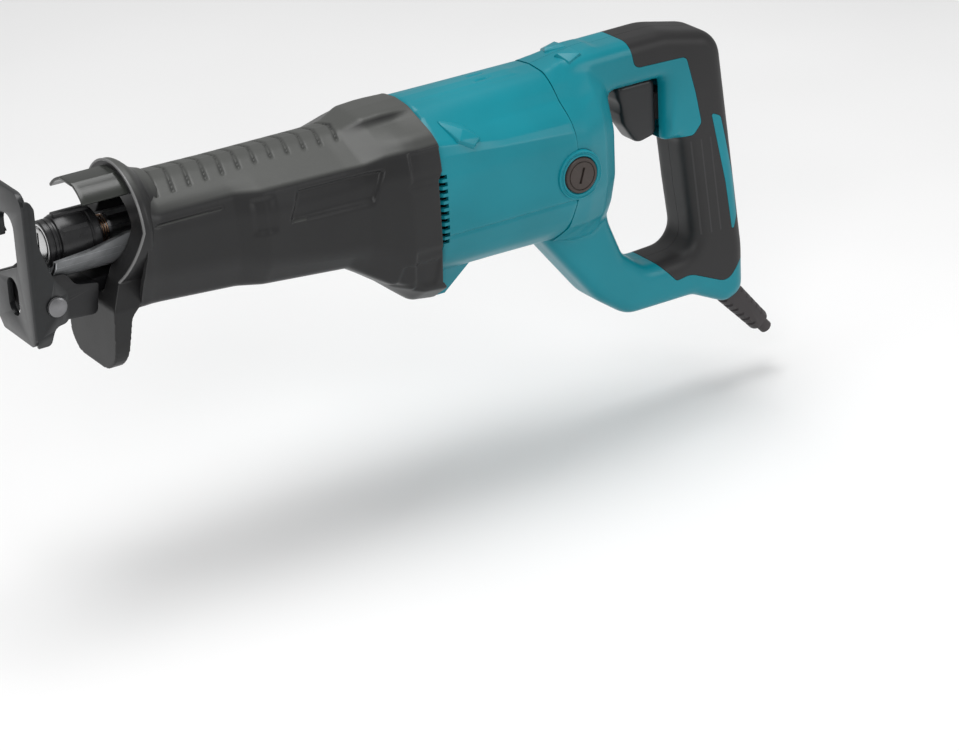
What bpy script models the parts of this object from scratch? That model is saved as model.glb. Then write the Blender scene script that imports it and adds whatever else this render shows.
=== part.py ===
"""Reciprocating saw: D-handle, side-brush motor, crank-driven blade rod and pivoting shoe.

X runs along the tool with the blade clamp at -X and the grip at +X, Y across the tool, Z up.
Sizes are in millimetres from the boot's mouth on the blade rod's axis; at the end the whole saw
moves along X so that the world origin is where a blade's end stops in its slot.
"""
import math

import bmesh
import bpy
from mathutils import Matrix, Vector

MM = 0.001
GAP = 0.3

# rod, stroke and blade clamp
ROD_R = 5.3
STROKE_FORWARD = 8.0
STROKE_BACK = 22.0
SLEEVE_R = 13.5
GUIDE_R = 9.4
SLOT_END_X = -20.0
LOCK_PIN_X = -30.0
# crank and motor
CRANK_X = 95.0
CRANK_RADIUS = 15.0
GEAR_R = 28.8
GEAR_TEETH = 36
PINION_TEETH = 6
MOTOR_Z = -23.0
FAN_BLADES = 12
BRUSH_X = 256.5
BRUSH_Z = -25.5
CAP_R = 10.2
# shells
BOOT_WALL = 3.0
CASE_WALL = 2.8
MOTOR_WALL = 2.6
VENT_COUNT = 10
VENT_PITCH = 4.1
RING_R = 32.5
MOUTH_R = 19.2
# handle
GRIP_HALF = 17.0
CORE_HALF = 14.5
CORE_INSET = 2.5
SPLIT_HALF = 0.15
BUTTON_X = 339.0
BUTTON_Z = -12.0
# shoe
SHOE_HALF = 21.0
PIVOT_X = -48.4
PIVOT_Z = -26.0

TEAL = (0.012, 0.235, 0.275)
RUBBER = (0.030, 0.030, 0.030)
GRIP_GREY = (0.055, 0.050, 0.050)
STEEL = (0.42, 0.42, 0.43)
BLACKENED = (0.03, 0.03, 0.035)
ALUMINIUM = (0.45, 0.46, 0.47)
COPPER = (0.55, 0.22, 0.09)
SMOKE = (0.045, 0.055, 0.050)
BRONZE = (0.35, 0.22, 0.10)
CARBON = (0.02, 0.02, 0.02)


def clear_scene():
    for old in list(bpy.data.objects):
        bpy.data.objects.remove(old, do_unlink=True)


def collection(name):
    made = bpy.data.collections.new(name)
    bpy.context.scene.collection.children.link(made)
    return made


clear_scene()
SAW = collection("reciprocating_saw")
CUTTERS = collection("cutters")


def paint(name, colour, roughness, metallic=0.0):
    material = bpy.data.materials.new(name)
    material.use_nodes = True
    shader = material.node_tree.nodes["Principled BSDF"]
    shader.inputs["Base Color"].default_value = (*colour, 1.0)
    shader.inputs["Roughness"].default_value = roughness
    shader.inputs["Metallic"].default_value = metallic
    material.diffuse_color = (*colour, 1.0)
    return material


def add(name, bm):
    """A new object in the saw's collection from a bmesh given in millimetres."""
    bmesh.ops.scale(bm, vec=(MM, MM, MM), verts=bm.verts)
    bmesh.ops.recalc_face_normals(bm, faces=bm.faces)
    mesh = bpy.data.meshes.new(name)
    bm.to_mesh(mesh)
    bm.free()
    made = bpy.data.objects.new(name, mesh)
    SAW.objects.link(made)
    return made


def guide(made):
    """Marks an object as a cutter or a Boolean operand, not a piece of the saw."""
    SAW.objects.unlink(made)
    CUTTERS.objects.link(made)
    made.hide_render = True
    made.display_type = "WIRE"
    return made


def boolean(made, other, operation):
    if other.name not in CUTTERS.objects:
        guide(other)
    modifier = made.modifiers.new(operation.lower(), "BOOLEAN")
    modifier.operation = operation
    modifier.solver = "EXACT"
    modifier.object = other
    return made


def cut(made, *others):
    for other in others:
        boolean(made, other, "DIFFERENCE")
    return made


def join(made, *others):
    for other in others:
        boolean(made, other, "UNION")
    return made


def keep(made, other):
    return boolean(made, other, "INTERSECT")


def bevel(made, width, segments=1, angle=35):
    modifier = made.modifiers.new("bevel", "BEVEL")
    modifier.width = width * MM
    modifier.segments = segments
    modifier.limit_method = "ANGLE"
    modifier.angle_limit = math.radians(angle)
    return made


def box(name, low, high):
    bm = bmesh.new()
    bmesh.ops.create_cube(bm, size=1.0)
    size = [b - a for a, b in zip(low, high)]
    middle = [(a + b) / 2 for a, b in zip(low, high)]
    bmesh.ops.scale(bm, vec=size, verts=bm.verts)
    bmesh.ops.translate(bm, vec=middle, verts=bm.verts)
    return add(name, bm)


def turn_to(direction):
    return Vector((0, 0, 1)).rotation_difference(Vector(direction)).to_matrix()


def drum(name, start, end, radius, end_radius=None, sides=16):
    """A round bar from one point to another."""
    start = Vector(start)
    end = Vector(end)
    bm = bmesh.new()
    bmesh.ops.create_cone(
        bm,
        cap_ends=True,
        segments=sides,
        radius1=radius,
        radius2=radius if end_radius is None else end_radius,
        depth=(end - start).length,
    )
    bmesh.ops.rotate(bm, cent=(0, 0, 0), matrix=turn_to(end - start), verts=bm.verts)
    bmesh.ops.translate(bm, vec=(start + end) / 2, verts=bm.verts)
    return add(name, bm)


def turned(name, profile, origin, direction, steps=20, closed=True):
    """A profile of (radius, height) points turned about an axis with a Screw modifier."""
    area = sum(a[0] * b[1] - b[0] * a[1] for a, b in zip(profile, profile[1:] + profile[:1]))
    if area > 0:
        profile = profile[::-1]
    bm = bmesh.new()
    points = [bm.verts.new((r * MM, 0, h * MM)) for r, h in profile]
    for a, b in zip(points, points[1:]):
        bm.edges.new((a, b))
    if closed:
        bm.edges.new((points[-1], points[0]))
    mesh = bpy.data.meshes.new(name)
    bm.to_mesh(mesh)
    bm.free()
    made = bpy.data.objects.new(name, mesh)
    SAW.objects.link(made)
    made.location = Vector(origin) * MM
    made.rotation_mode = "QUATERNION"
    made.rotation_quaternion = Vector((0, 0, 1)).rotation_difference(Vector(direction))
    screw = made.modifiers.new("screw", "SCREW")
    screw.steps = steps
    screw.render_steps = steps
    screw.use_merge_vertices = True
    screw.merge_threshold = 0.00001
    return made


def tube(name, start, end, outer, inner, steps=20):
    """A plain ring between two points."""
    length = (Vector(end) - Vector(start)).length
    profile = [(outer, length), (outer, 0), (inner, 0), (inner, length)]
    return turned(name, profile, start, Vector(end) - Vector(start), steps)


def rounded(corners, steps=2):
    """A closed outline whose corners (a, b, radius) become arcs."""
    points = []
    for i, (a, b, radius) in enumerate(corners):
        here = Vector((a, b))
        if radius <= 0:
            points.append((a, b))
            continue
        before = Vector(corners[i - 1][:2]) - here
        after = Vector(corners[(i + 1) % len(corners)][:2]) - here
        half = before.angle(after) / 2
        reach = min(radius / math.tan(half), 0.48 * before.length, 0.48 * after.length)
        size = reach * math.tan(half)
        centre = here + (before.normalized() + after.normalized()).normalized() * size / math.sin(half)
        first = here + before.normalized() * reach - centre
        last = here + after.normalized() * reach - centre
        sweep = math.atan2(first.x * last.y - first.y * last.x, first.dot(last))
        for k in range(steps + 1):
            spoke = Matrix.Rotation(sweep * k / steps, 2) @ first
            points.append(tuple(centre + spoke))
    return points


def inset(outline, distance):
    """The outline moved inwards by a distance (outwards when negative)."""
    count = len(outline)
    area = sum(
        outline[i - 1][0] * outline[i][1] - outline[i][0] * outline[i - 1][1]
        for i in range(count)
    )
    side = 1.0 if area > 0 else -1.0
    points = []
    for i in range(count):
        here = Vector(outline[i])
        u = (here - Vector(outline[i - 1])).normalized()
        v = (Vector(outline[(i + 1) % count]) - here).normalized()
        normal_u = Vector((-u.y, u.x)) * side
        normal_v = Vector((-v.y, v.x)) * side
        spread = normal_u + normal_v
        points.append(tuple(here + spread * distance / max(0.3, spread.dot(normal_u))))
    return points


def plate(name, outline, axis, middle, half, hole=None):
    """A flat outline made thick along X, Y or Z: (y, z), (x, z) or (x, y) points."""
    curve = bpy.data.curves.new(name, "CURVE")
    curve.dimensions = "2D"
    curve.fill_mode = "BOTH"
    curve.extrude = half * MM
    for points in (outline, hole):
        if points:
            spline = curve.splines.new("POLY")
            spline.points.add(len(points) - 1)
            spline.use_cyclic_u = True
            for target, (a, b) in zip(spline.points, points):
                target.co = (a * MM, b * MM, 0, 1)
    flat = bpy.data.objects.new(name + "_curve", curve)
    SAW.objects.link(flat)
    depsgraph = bpy.context.evaluated_depsgraph_get()
    mesh = bpy.data.meshes.new_from_object(flat.evaluated_get(depsgraph))
    bpy.data.objects.remove(flat, do_unlink=True)
    bm = bmesh.new()
    bm.from_mesh(mesh)
    bmesh.ops.remove_doubles(bm, verts=bm.verts, dist=0.000001)
    if not hole:
        bmesh.ops.dissolve_limit(bm, angle_limit=0.001, verts=bm.verts, edges=bm.edges)
    turns = {
        "X": Matrix(((0, 0, 1), (1, 0, 0), (0, 1, 0))),
        "Y": Matrix(((1, 0, 0), (0, 0, -1), (0, 1, 0))),
        "Z": Matrix.Identity(3),
    }
    shift = {"X": (middle, 0, 0), "Y": (0, middle, 0), "Z": (0, 0, middle)}
    bmesh.ops.rotate(bm, cent=(0, 0, 0), matrix=turns[axis], verts=bm.verts)
    bmesh.ops.scale(bm, vec=(1 / MM, 1 / MM, 1 / MM), verts=bm.verts)
    bmesh.ops.translate(bm, vec=shift[axis], verts=bm.verts)
    return add(name, bm)


def both_sides(half_section):
    """The whole ring of a section from its (y, z) points, top centre to bottom centre."""
    mirrored = [(-y, z) for y, z in reversed(half_section) if y > 0]
    return list(half_section) + mirrored


def loft(name, stations, capped):
    """Skin over rings given as (x, ring of (y, z))."""
    bm = bmesh.new()
    rings = [[bm.verts.new((x, y, z)) for y, z in ring] for x, ring in stations]
    count = len(rings[0])
    for ring, following in zip(rings, rings[1:]):
        for i in range(count):
            j = (i + 1) % count
            bm.faces.new((ring[i], ring[j], following[j], following[i]))
    if capped:
        bm.faces.new(rings[0])
        bm.faces.new(rings[-1])
    return add(name, bm)


def shell(name, stations, wall):
    """An open tube over the rings with a wall going inwards."""
    made = loft(name, stations, False)
    solid = made.modifiers.new("wall", "SOLIDIFY")
    solid.thickness = wall * MM
    solid.offset = -1.0
    solid.use_even_offset = True
    return made


def whole_skin(stations):
    return [(x, both_sides(half)) for x, half in stations]


def dress(material, *pieces):
    for piece in pieces:
        piece.data.materials.clear()
        piece.data.materials.append(material)
        piece.data.shade_smooth()
        if piece.data.polygons:
            piece.data.set_sharp_from_angle(angle=math.radians(30))
    return pieces[0]


def joint_empty(name, point, parent=None):
    empty = bpy.data.objects.new(name, None)
    empty.empty_display_size = 0.01
    empty.location = Vector(point) * MM
    SAW.objects.link(empty)
    bpy.context.view_layer.update()
    if parent:
        attach(parent, empty)
    return empty


def attach(empty, *pieces):
    bpy.context.view_layer.update()
    for piece in pieces:
        piece.parent = empty
        piece.matrix_parent_inverse = empty.matrix_world.inverted()
    bpy.context.view_layer.update()


# ---------------------------------------------------------------- boot and gearbox


def boot_sections():
    low = [(31.5, -20), (24, -38), (12, -41), (0, -41)]
    mid = [(32.5, -24), (25, -41), (12, -44), (0, -44)]
    collar = [(43.6, -45), (42, -67), (24, -80), (0, -80)]
    return [
        (3, [(0, 25), (9, 23.5), (18, 19.5), (25, 15), (29, 10.5), (31, 2)] + low),
        (52, [(0, 23), (8, 22.3), (15.5, 19.2), (24, 15), (29.3, 11), (31.6, 1)] + mid),
        (68, [(0, 23), (8, 22.3), (15, 19.4), (25, 15), (33, 10.5), (36.5, 0), (37.5, -29), (28, -43),
              (13, -46), (0, -46)]),
        (116, [(0, 23), (8, 22.3), (14.6, 19.7), (25, 15), (34.5, 10.5), (37.6, 0), (38.5, -35),
               (29, -47), (14, -50),
               (0, -50)]),
        (126, [(0, 23.2), (9, 22.8), (14.6, 20.4), (25, 15.5), (35.5, 10.5), (38.4, 0), (39, -36),
               (31.5, -53), (15, -56),
               (0, -56)]),
        (138, [(0, 28), (13.5, 27.4), (17, 23.2), (30, 17), (37.5, 12.5), (40.4, 2), (40.6, -40),
               (35.5, -60), (18, -64),
               (0, -64)]),
        (150, [(0, 28.5), (14, 28), (17, 23.5), (33.5, 18), (41, 13), (43, 2), (43.5, -43), (41, -64),
               (21, -74), (0, -74)]),
        (168.6, [(0, 29), (12.5, 27.6), (18, 25.2), (34.5, 18.5), (41.4, 13), (43.3, 2)] + collar),
    ]


def mouth_hole(name, x0, x1):
    """The mouth: a round hole round the clamp with a slot below for the shoe's holder."""
    hole = drum(name, (x0, 0, 0), (x1, 0, 0), MOUTH_R, sides=32)
    slot = box(name + "_slot", (x0, -9.9, -30), (x1, 9.9, -10))
    return join(hole, slot)


def mouth_front_x(z):
    """The mouth's face is upright above the rod and leans forward into the guard below it."""
    return -2.0 - 0.44 * min(max(5.0 - z, 0.0), 40.0) - 0.06 * max(0.0, -35.0 - z)


def mouth_back_x(z):
    if z > -24:
        return 6.0
    if z > -41:
        return 6.0 + (z + 24) * 0.93
    return -9.8 + (z + 41) * 0.17


def lean_cutter(name, edge, far):
    """Everything beyond an edge given as X for each height."""
    heights = (60, 5, -5, -15, -24, -35, -41, -75)
    line = [(edge(z), z) for z in heights]
    return plate(name, line + [(far, -75), (far, 60)], "Y", 0, 60)


def mouth_ring():
    ring = [
        (RING_R * math.cos(math.radians(a)), 1.5 + RING_R * math.sin(math.radians(a)))
        for a in range(-60, 241, 12)
    ]
    return plate("boot_ring", ring, "X", -8, 16)


def hand_guard():
    """The broad guard hanging below the mouth."""
    corners = [(22.5, -20, 0), (26.5, -36, 6), (26.5, -68, 13), (-26.5, -68, 13), (-26.5, -36, 6),
               (-22.5, -20, 0)]
    return plate("boot_guard", rounded(corners, 3), "X", -8, 16)


def insulation_boot():
    boot = shell("insulation_boot", whole_skin(boot_sections()), BOOT_WALL)
    front = join(mouth_ring(), hand_guard())
    cut(front, lean_cutter("front_lean", mouth_front_x, -40), lean_cutter("back_lean", mouth_back_x, 40))
    join(boot, front)
    cut(boot, mouth_hole("mouth_cut", -35, 12))
    rear = [(166.5, 60, 0), (167.2, 25, 0), (168.4, 12, 0), (168.6, -4, 0), (165, -5.5, 0), (166, -42, 0),
            (168.8, -44, 0), (167, -66, 0), (165, -100, 0), (200, -100, 0), (200, 60, 0)]
    cut(boot, plate("boot_rear_cut", rounded(rear), "Y", 0, 60))
    return boot


def nose_hood():
    """Curved shield over the clamp: a thin sheet bent to an arc."""
    bm = bmesh.new()
    rows = [(-18.5, 22.3, -27.8), (-13, 26.8, -27.4), (-7, 29.2, -27.0), (0, 29.6, -26.8)]
    rows = rows + [(-y, z, x) for y, z, x in reversed(rows[:3])]
    front = [bm.verts.new((x, y, z)) for y, z, x in rows]
    back = [bm.verts.new((-2.3, y, z)) for y, z, x in rows]
    for i in range(len(rows) - 1):
        bm.faces.new((front[i], front[i + 1], back[i + 1], back[i]))
    hood = add("nose_hood", bm)
    solid = hood.modifiers.new("wall", "SOLIDIFY")
    solid.thickness = 2.0 * MM
    solid.offset = 0.0
    return hood


def gearbox_section(width, top, bottom):
    return [
        (0, top),
        (13, top - 3.4),
        (width - 7, 8.6),
        (width - 1.5, 2.5),
        (width, -6),
        (width, bottom + 17),
        (width - 8, bottom + 2),
        (0, bottom),
    ]


def gearbox_skin(name):
    stations = [
        (20, gearbox_section(26.5, 19.4, -36.6)),
        (48, gearbox_section(27.0, 19.4, -38.6)),
        (72, gearbox_section(33.0, 19.4, -41.4)),
        (133, gearbox_section(34.0, 19.4, -44.0)),
    ]
    return shell(name, whole_skin(stations), CASE_WALL)


def gear_housing():
    case = gearbox_skin("gear_housing")
    cut(case, box("case_split", (0, -60, 8), (200, 60, 60)))
    wall = plate("case_front_wall", inset(both_sides(gearbox_section(26.5, 19.4, -36.6)), 1.5),
                 "X", 23.5, 3.5)
    cradle = tube("nose_cradle", (-45, 0, 0), (21.5, 0, 0), 18.6, 15.6, 28)
    lip = [(-60, -5.5), (-45, -4.5), (-25, -2.6), (-5, 1.6), (40, 1.6), (40, 40), (-60, 40)]
    cut(cradle, plate("cradle_split", lip, "Y", 0, 30))
    rail = box("slide_rail", (8.5, -13, -33), (21, 13, -16.5))
    join(case, wall, rail, cradle)
    cut(case, drum("bush_cut", (18, 0, 0), (40, 0, 0), 8.3))
    cut(case, box("slide_cut", (-60, -9.3, -29.3), (40, 9.3, -21.7)))
    return case


def gear_housing_cover():
    cover = gearbox_skin("gear_housing_cover")
    cut(cover, box("cover_split", (0, -60, -80), (200, 60, 8 + GAP)))
    cut(cover, box("cover_front", (0, -60, -80), (27.4, 60, 60)))
    return cover


def gearbox_rear_wall():
    """Rear wall with the rod's rear guide and the seat of the motor's front bearing."""
    outline = inset(both_sides(gearbox_section(34.0, 19.4, -44.0)), CASE_WALL + 0.6)
    wall = plate("gearbox_rear_wall", outline, "X", 128, 3.6)
    cut(wall, drum("rear_rod_cut", (110, 0, 0), (140, 0, 0), ROD_R + GAP))
    cut(wall, drum("bearing_seat_cut", (110, 0, MOTOR_Z), (140, 0, MOTOR_Z), 12.3))
    return wall


def rod_guides():
    bush = tube("front_guide_bush", (20.4, 0, 0), (38, 0, 0), 8.0, ROD_R + GAP)
    seal = tube("rod_seal", (16.6, 0, 0), (20.0, 0, 0), 7.8, ROD_R + GAP)
    return bush, seal


# ---------------------------------------------------------------- crank and rod


def bearing(name, centre, axis, outer, inner, width):
    axis = Vector(axis)
    centre = Vector(centre)
    return tube(name, centre - axis * width / 2, centre + axis * width / 2, outer, inner, 20)


def bearing_carrier():
    hub = drum("bearing_carrier", (CRANK_X, 0, -37.6), (CRANK_X, 0, -21), 16, sides=18)
    join(hub, box("carrier_web", (77, -24.2, -33), (110, 24.2, -29.5)))
    cut(hub, drum("carrier_bore", (CRANK_X, 0, -50), (CRANK_X, 0, -10), 12.8))
    return hub


def crank_gear():
    """Face gear with its teeth below, on its own shaft."""
    disc = drum("crank_gear", (CRANK_X, 0, -16.5), (CRANK_X, 0, -11.3), GEAR_R, sides=24)
    shaft = drum("crank_shaft", (CRANK_X, 0, -37.4), (CRANK_X, 0, -16), 6.0, sides=16)
    join(disc, shaft, gear_teeth())
    pin_x, pin_y = crank_pin_place()
    cut(disc, drum("pin_hole", (pin_x, pin_y, -14.5), (pin_x, pin_y, -5), 4.3, sides=16))
    return disc


def gear_teeth():
    bm = bmesh.new()
    for k in range(GEAR_TEETH):
        tooth = bmesh.ops.create_cube(bm, size=1.0)["verts"]
        bmesh.ops.scale(bm, vec=(8.0, 1.7, 2.6), verts=tooth)
        bmesh.ops.translate(bm, vec=(GEAR_R - 4.6, 0, -17.0), verts=tooth)
        turn = Matrix.Rotation(2 * math.pi * (k + 0.5) / GEAR_TEETH, 3, "Z")
        bmesh.ops.rotate(bm, cent=(0, 0, 0), matrix=turn, verts=tooth)
    bmesh.ops.translate(bm, vec=(CRANK_X, 0, 0), verts=bm.verts)
    return add("gear_teeth", bm)


def crank_pin_place():
    """At rest the rod is 7 mm ahead of mid-stroke."""
    ahead = (STROKE_BACK - STROKE_FORWARD) / 2
    return CRANK_X - ahead, math.sqrt(CRANK_RADIUS**2 - ahead**2)


def crank_pin_and_roller():
    """Both end below the rod's yoke, so that crank and rod can move separately."""
    x, y = crank_pin_place()
    pin = drum("crank_pin", (x, y, -14.2), (x, y, -6.6), 4.0, sides=16)
    roller = tube("crank_roller", (x, y, -10.8), (x, y, -6.9), 6.2, 4.3, 16)
    return pin, roller


def slider_rod():
    rod = drum("slider_rod", (-16.7, 0, 0), (78, 0, 0), ROD_R)
    collar = drum("spring_seat", (-8.9, 0, 0), (-7.5, 0, 0), 7.5)
    middle = crank_pin_place()[0]
    yoke = box("yoke", (middle - 12, -25, -5.2), (middle + 12, 25, 5.2))
    bevel(yoke, 2)
    tail = drum("tail", (middle + 11, 0, 0), (136, 0, 0), ROD_R)
    slot = [(middle - 6.5, -21.5, 6), (middle + 6.5, -21.5, 6), (middle + 6.5, 21.5, 6),
            (middle - 6.5, 21.5, 6)]
    join(rod, collar, yoke, tail)
    cut(rod, plate("yoke_slot", rounded(slot, 4), "Z", 0, 12))
    return rod


# ---------------------------------------------------------------- blade clamp


def clamp_guide_sleeve():
    profile = [(0, -17), (8.4, -17), (8.4, -20), (GUIDE_R, -21), (GUIDE_R, -44.6), (8.8, -45.3), (0, -45.3)]
    guide_sleeve = turned("clamp_guide_sleeve", profile, (0, 0, 0), (1, 0, 0), 24, closed=False)
    cut(guide_sleeve, box("blade_slot", (-60, -0.9, -6.5), (SLOT_END_X, 0.9, 6.5)))
    cut(guide_sleeve, drum("lock_hole", (LOCK_PIN_X, -20, 0), (LOCK_PIN_X, 4, 0), 2.1, sides=16))
    return guide_sleeve


def clamp_sleeve():
    """Hand-turned sleeve: knurled body, smaller front collar and one long lug."""
    profile = [
        (SLEEVE_R, -15),
        (SLEEVE_R, -38),
        (12.2, -39),
        (12.2, -44.4),
        (11.4, -45),
        (11.3, -42.4),
        (GUIDE_R + GAP, -42.4),
        (GUIDE_R + GAP, -15.2),
    ]
    sleeve = turned("clamp_sleeve", profile, (0, 0, 0), (1, 0, 0), 24)
    lug = box("sleeve_lug", (-37, -2.6, 12.4), (-17, 2.6, 15.0))
    bevel(lug, 0.7)
    join(sleeve, lug)
    return sleeve


def lock_pin():
    return drum("lock_pin", (LOCK_PIN_X, -9.1, 0), (LOCK_PIN_X, -1.3, 0), 1.8, sides=16)


def clamp_spring():
    """Coils between the sleeve and the rod's collar."""
    curve = bpy.data.curves.new("clamp_spring", "CURVE")
    curve.dimensions = "3D"
    curve.bevel_depth = 0.55 * MM
    curve.bevel_resolution = 0
    curve.use_fill_caps = True
    turns = 3.6
    count = 54
    spline = curve.splines.new("POLY")
    spline.points.add(count - 1)
    for k, point in enumerate(spline.points):
        angle = 2 * math.pi * turns * k / (count - 1)
        x = -14.8 + 5.2 * k / (count - 1)
        point.co = (x * MM, 6.9 * MM * math.cos(angle), 6.9 * MM * math.sin(angle), 1)
    spring = bpy.data.objects.new("clamp_spring", curve)
    SAW.objects.link(spring)
    depsgraph = bpy.context.evaluated_depsgraph_get()
    mesh = bpy.data.meshes.new_from_object(spring.evaluated_get(depsgraph))
    bpy.data.objects.remove(spring, do_unlink=True)
    bm = bmesh.new()
    bm.from_mesh(mesh)
    bmesh.ops.remove_doubles(bm, verts=bm.verts, dist=0.000005)
    bmesh.ops.scale(bm, vec=(1 / MM, 1 / MM, 1 / MM), verts=bm.verts)
    return add("clamp_spring", bm)


# ---------------------------------------------------------------- shoe


def shoe_holder():
    """Block that slides in the nose, rounded about the shoe's pivot."""
    corners = [
        (PIVOT_X - 9.6, PIVOT_Z + 9.6, 9.6),
        (PIVOT_X - 9.6, PIVOT_Z - 9.6, 9.6),
        (-24, -38, 3),
        (-22, -21.5, 1.5),
        (-34.5, -19.5, 5),
        (-40, -12, 3),
        (-48, -11.5, 4),
    ]
    holder = plate("shoe_holder", rounded(corners, 4), "Y", 0, 16)
    join(holder, box("slide_bar", (-25, -9, -29), (44, 9, -22)))
    cut(holder, drum("cradle_room", (-80, 0, 0), (-20, 0, 0), 19.1, sides=28))
    cut(holder, drum("holder_bore", (PIVOT_X, -30, PIVOT_Z), (PIVOT_X, 30, PIVOT_Z), 4.3, sides=18))
    return holder


def shoe_pivot_pin():
    pin = drum("shoe_pivot_pin", (PIVOT_X, -22, PIVOT_Z), (PIVOT_X, 22, PIVOT_Z), 4.0, sides=18)
    for side in (-1, 1):
        head = drum("pin_head", (PIVOT_X, side * 21.3, PIVOT_Z), (PIVOT_X, side * 23.2,
            PIVOT_Z), 5.4, 4.6, sides=18)
        join(pin, head)
    return pin


def shoe():
    """C-shaped front plate with two side flanges that carry the pivot."""
    corners = [
        (-SHOE_HALF, 36.5, 7),
        (SHOE_HALF, 36.5, 7),
        (SHOE_HALF, 3, 1),
        (8, 7, 2),
        (8, 22, 7),
        (-9, 22, 7),
        (-9, -5, 3),
        (SHOE_HALF, -17.6, 2),
        (SHOE_HALF, -41, 1),
        (16, -46, 2),
        (-SHOE_HALF, -46, 4),
    ]
    face = plate("shoe", rounded(corners), "X", -60.5, 1.5)
    slot = [(-6.3, -13.5, 6), (6.3, -13.5, 6), (6.3, -34, 6), (-6.3, -34, 6)]
    cut(face, plate("shoe_slot", rounded(slot, 4), "X", -60.5, 5))
    flange = [
        (-60.5, 33, 0),
        (-57, 32, 2),
        (-55, 28, 3),
        (-55, 9, 10),
        (-49, -10, 20),
        (-41.5, -20, 5),
        (-42, -36, 6),
        (-50, -37, 4),
        (-53.5, -46, 2),
        (-60.5, -46, 0),
    ]
    for side in (-1, 1):
        name = "shoe_flange_%d" % (side + 2)
        cheek = plate(name, rounded(flange), "Y", side * 20.0, 1.0)
        if side > 0:
            cut(cheek, box("flange_gap", (-70, 10, -16.5), (-30, 30, 4)))
        join(face, cheek)
    cut(face, drum("shoe_bore", (PIVOT_X, -30, PIVOT_Z), (PIVOT_X, 30, PIVOT_Z), 4.3, sides=18))
    return face


# ---------------------------------------------------------------- motor


def motor_sections():
    deep = [(39, -8), (39, -38), (33, -54), (21, -62), (0, -63)]
    low = [(40.8, -8), (40.8, -40), (35, -57), (22, -67.5), (0, -69)]
    under = [(0, 24.4), (11.5, 23.6), (16, 19.9), (29.5, 14.6), (34.2, 11.3), (37.4, 4)]
    front = [(0, 27.4), (12.5, 26.3), (20, 22.9), (31.5, 16.2), (38.2, 11.2), (39.8, 3)]
    middle = [(0, 27.7), (13, 26.4), (20.3, 21.9), (27.8, 13.4), (37.3, 5.4), (39.6, 0)]
    tail = [(0, 28), (13.4, 26.6), (20.3, 21.2), (26, 13.2), (36.6, 3.7), (39.4, -1.2)]
    last = [(40.6, -8), (40.6, -40), (34.6, -57.3), (22, -68.2), (0, -70)]
    return [(152, under + deep), (168.4, under + deep), (169.4, front + low), (210, middle + low), (262,
        tail + last)]


def seam_x(z):
    """The joint line between motor housing and handle bulges back at mid height."""
    above = z + 26
    return 256.5 - (3.6 if above > 0 else 12.5) * (above / 56) ** 2


def seam_side(name, offset, behind):
    """Everything behind (or ahead of) the seam, as a cutter."""
    line = [(seam_x(z) + offset, z) for z in range(-96, 61, 12)]
    far = 420 if behind else 100
    outline = line + [(far, line[-1][1]), (far, line[0][1])]
    return plate(name, outline, "Y", 0, 70)


def motor_housing():
    case = shell("motor_housing", whole_skin(motor_sections()), MOTOR_WALL)
    foot = [(0, -67.6), (21.3, -66.9), (25, -64.8), (22, -80), (0, -80.5)]
    heel = [(0, -67.6), (19, -66.9), (20, -66.8), (18, -68.8), (0, -70)]
    wedge = loft("case_foot", whole_skin([(170, foot), (178, foot), (197, heel)]), True)
    join(case, wedge)
    cut(case, seam_side("seam_behind", 0, True))
    for side in (-1, 1):
        name = "cap_boss_%d" % (side + 2)
        boss = drum(name, (BRUSH_X, side * 36, BRUSH_Z), (BRUSH_X, side * 42.2, BRUSH_Z), 14.0, 13.4,
                    sides=24)
        join(case, boss)
        hole = "cap_bore_%d" % (side + 2)
        cut(case, drum(hole, (BRUSH_X, side * 30, BRUSH_Z), (BRUSH_X, side * 50, BRUSH_Z), CAP_R + GAP,
                       sides=24))
    cut(case, vents())
    return case


def vents():
    """Cooling slots in both sides behind the boot."""
    bm = bmesh.new()
    for k in range(VENT_COUNT):
        z = -5.5 - VENT_PITCH * k
        slot = bmesh.ops.create_cube(bm, size=1.0)["verts"]
        bmesh.ops.scale(bm, vec=(7.5, 100, 2.2), verts=slot)
        bmesh.ops.translate(bm, vec=(168.8, 0, z), verts=slot)
    return add("vent_slots", bm)


def air_baffle():
    outline = inset(both_sides(motor_sections()[2][1]), 4.3)
    hole = [
        (24 * math.cos(2 * math.pi * k / 32), MOTOR_Z + 24 * math.sin(2 * math.pi * k / 32))
        for k in range(32)
    ]
    return plate("air_baffle", outline, "X", 175.2, 1.2, hole)


def field_core():
    core = tube("field_core", (182, 0, MOTOR_Z), (226, 0, MOTOR_Z), 33.5, 21.6, 28)
    cut(core, box("core_top", (170, -50, 5), (240, 50, 60)))
    cut(core, box("core_base", (170, -50, -80), (240, 50, -51)))
    return core


def field_coils():
    coils = []
    for name, low, high in (("field_coil_upper", -70, MOTOR_Z + 2), ("field_coil_lower", MOTOR_Z - 2, 40)):
        coil = tube(name, (226.4, 0, MOTOR_Z), (236, 0, MOTOR_Z), 30, 22.5, 24)
        cut(coil, box(name + "_cut", (220, -50, low), (240, 50, high)))
        coils.append(coil)
    return coils


def armature_shaft():
    profile = [(0, 111.5), (3.2, 111.5), (3.2, 123.6), (4, 124.2), (4, 278.4), (0, 278.4)]
    return turned("armature_shaft", profile, (0, 0, MOTOR_Z), (1, 0, 0), 24, closed=False)


def motor_pinion():
    count = PINION_TEETH
    outline = []
    for k in range(count * 4):
        radius = 4.4 if k % 4 < 2 else 3.75
        angle = 2 * math.pi * k / (count * 4)
        outline.append((radius * math.cos(angle), MOTOR_Z + radius * math.sin(angle)))
    pinion = plate("motor_pinion", outline, "X", 117.5, 5.5)
    cut(pinion, drum("pinion_bore", (105, 0, MOTOR_Z), (130, 0, MOTOR_Z), 3.5, sides=16))
    return pinion


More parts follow.
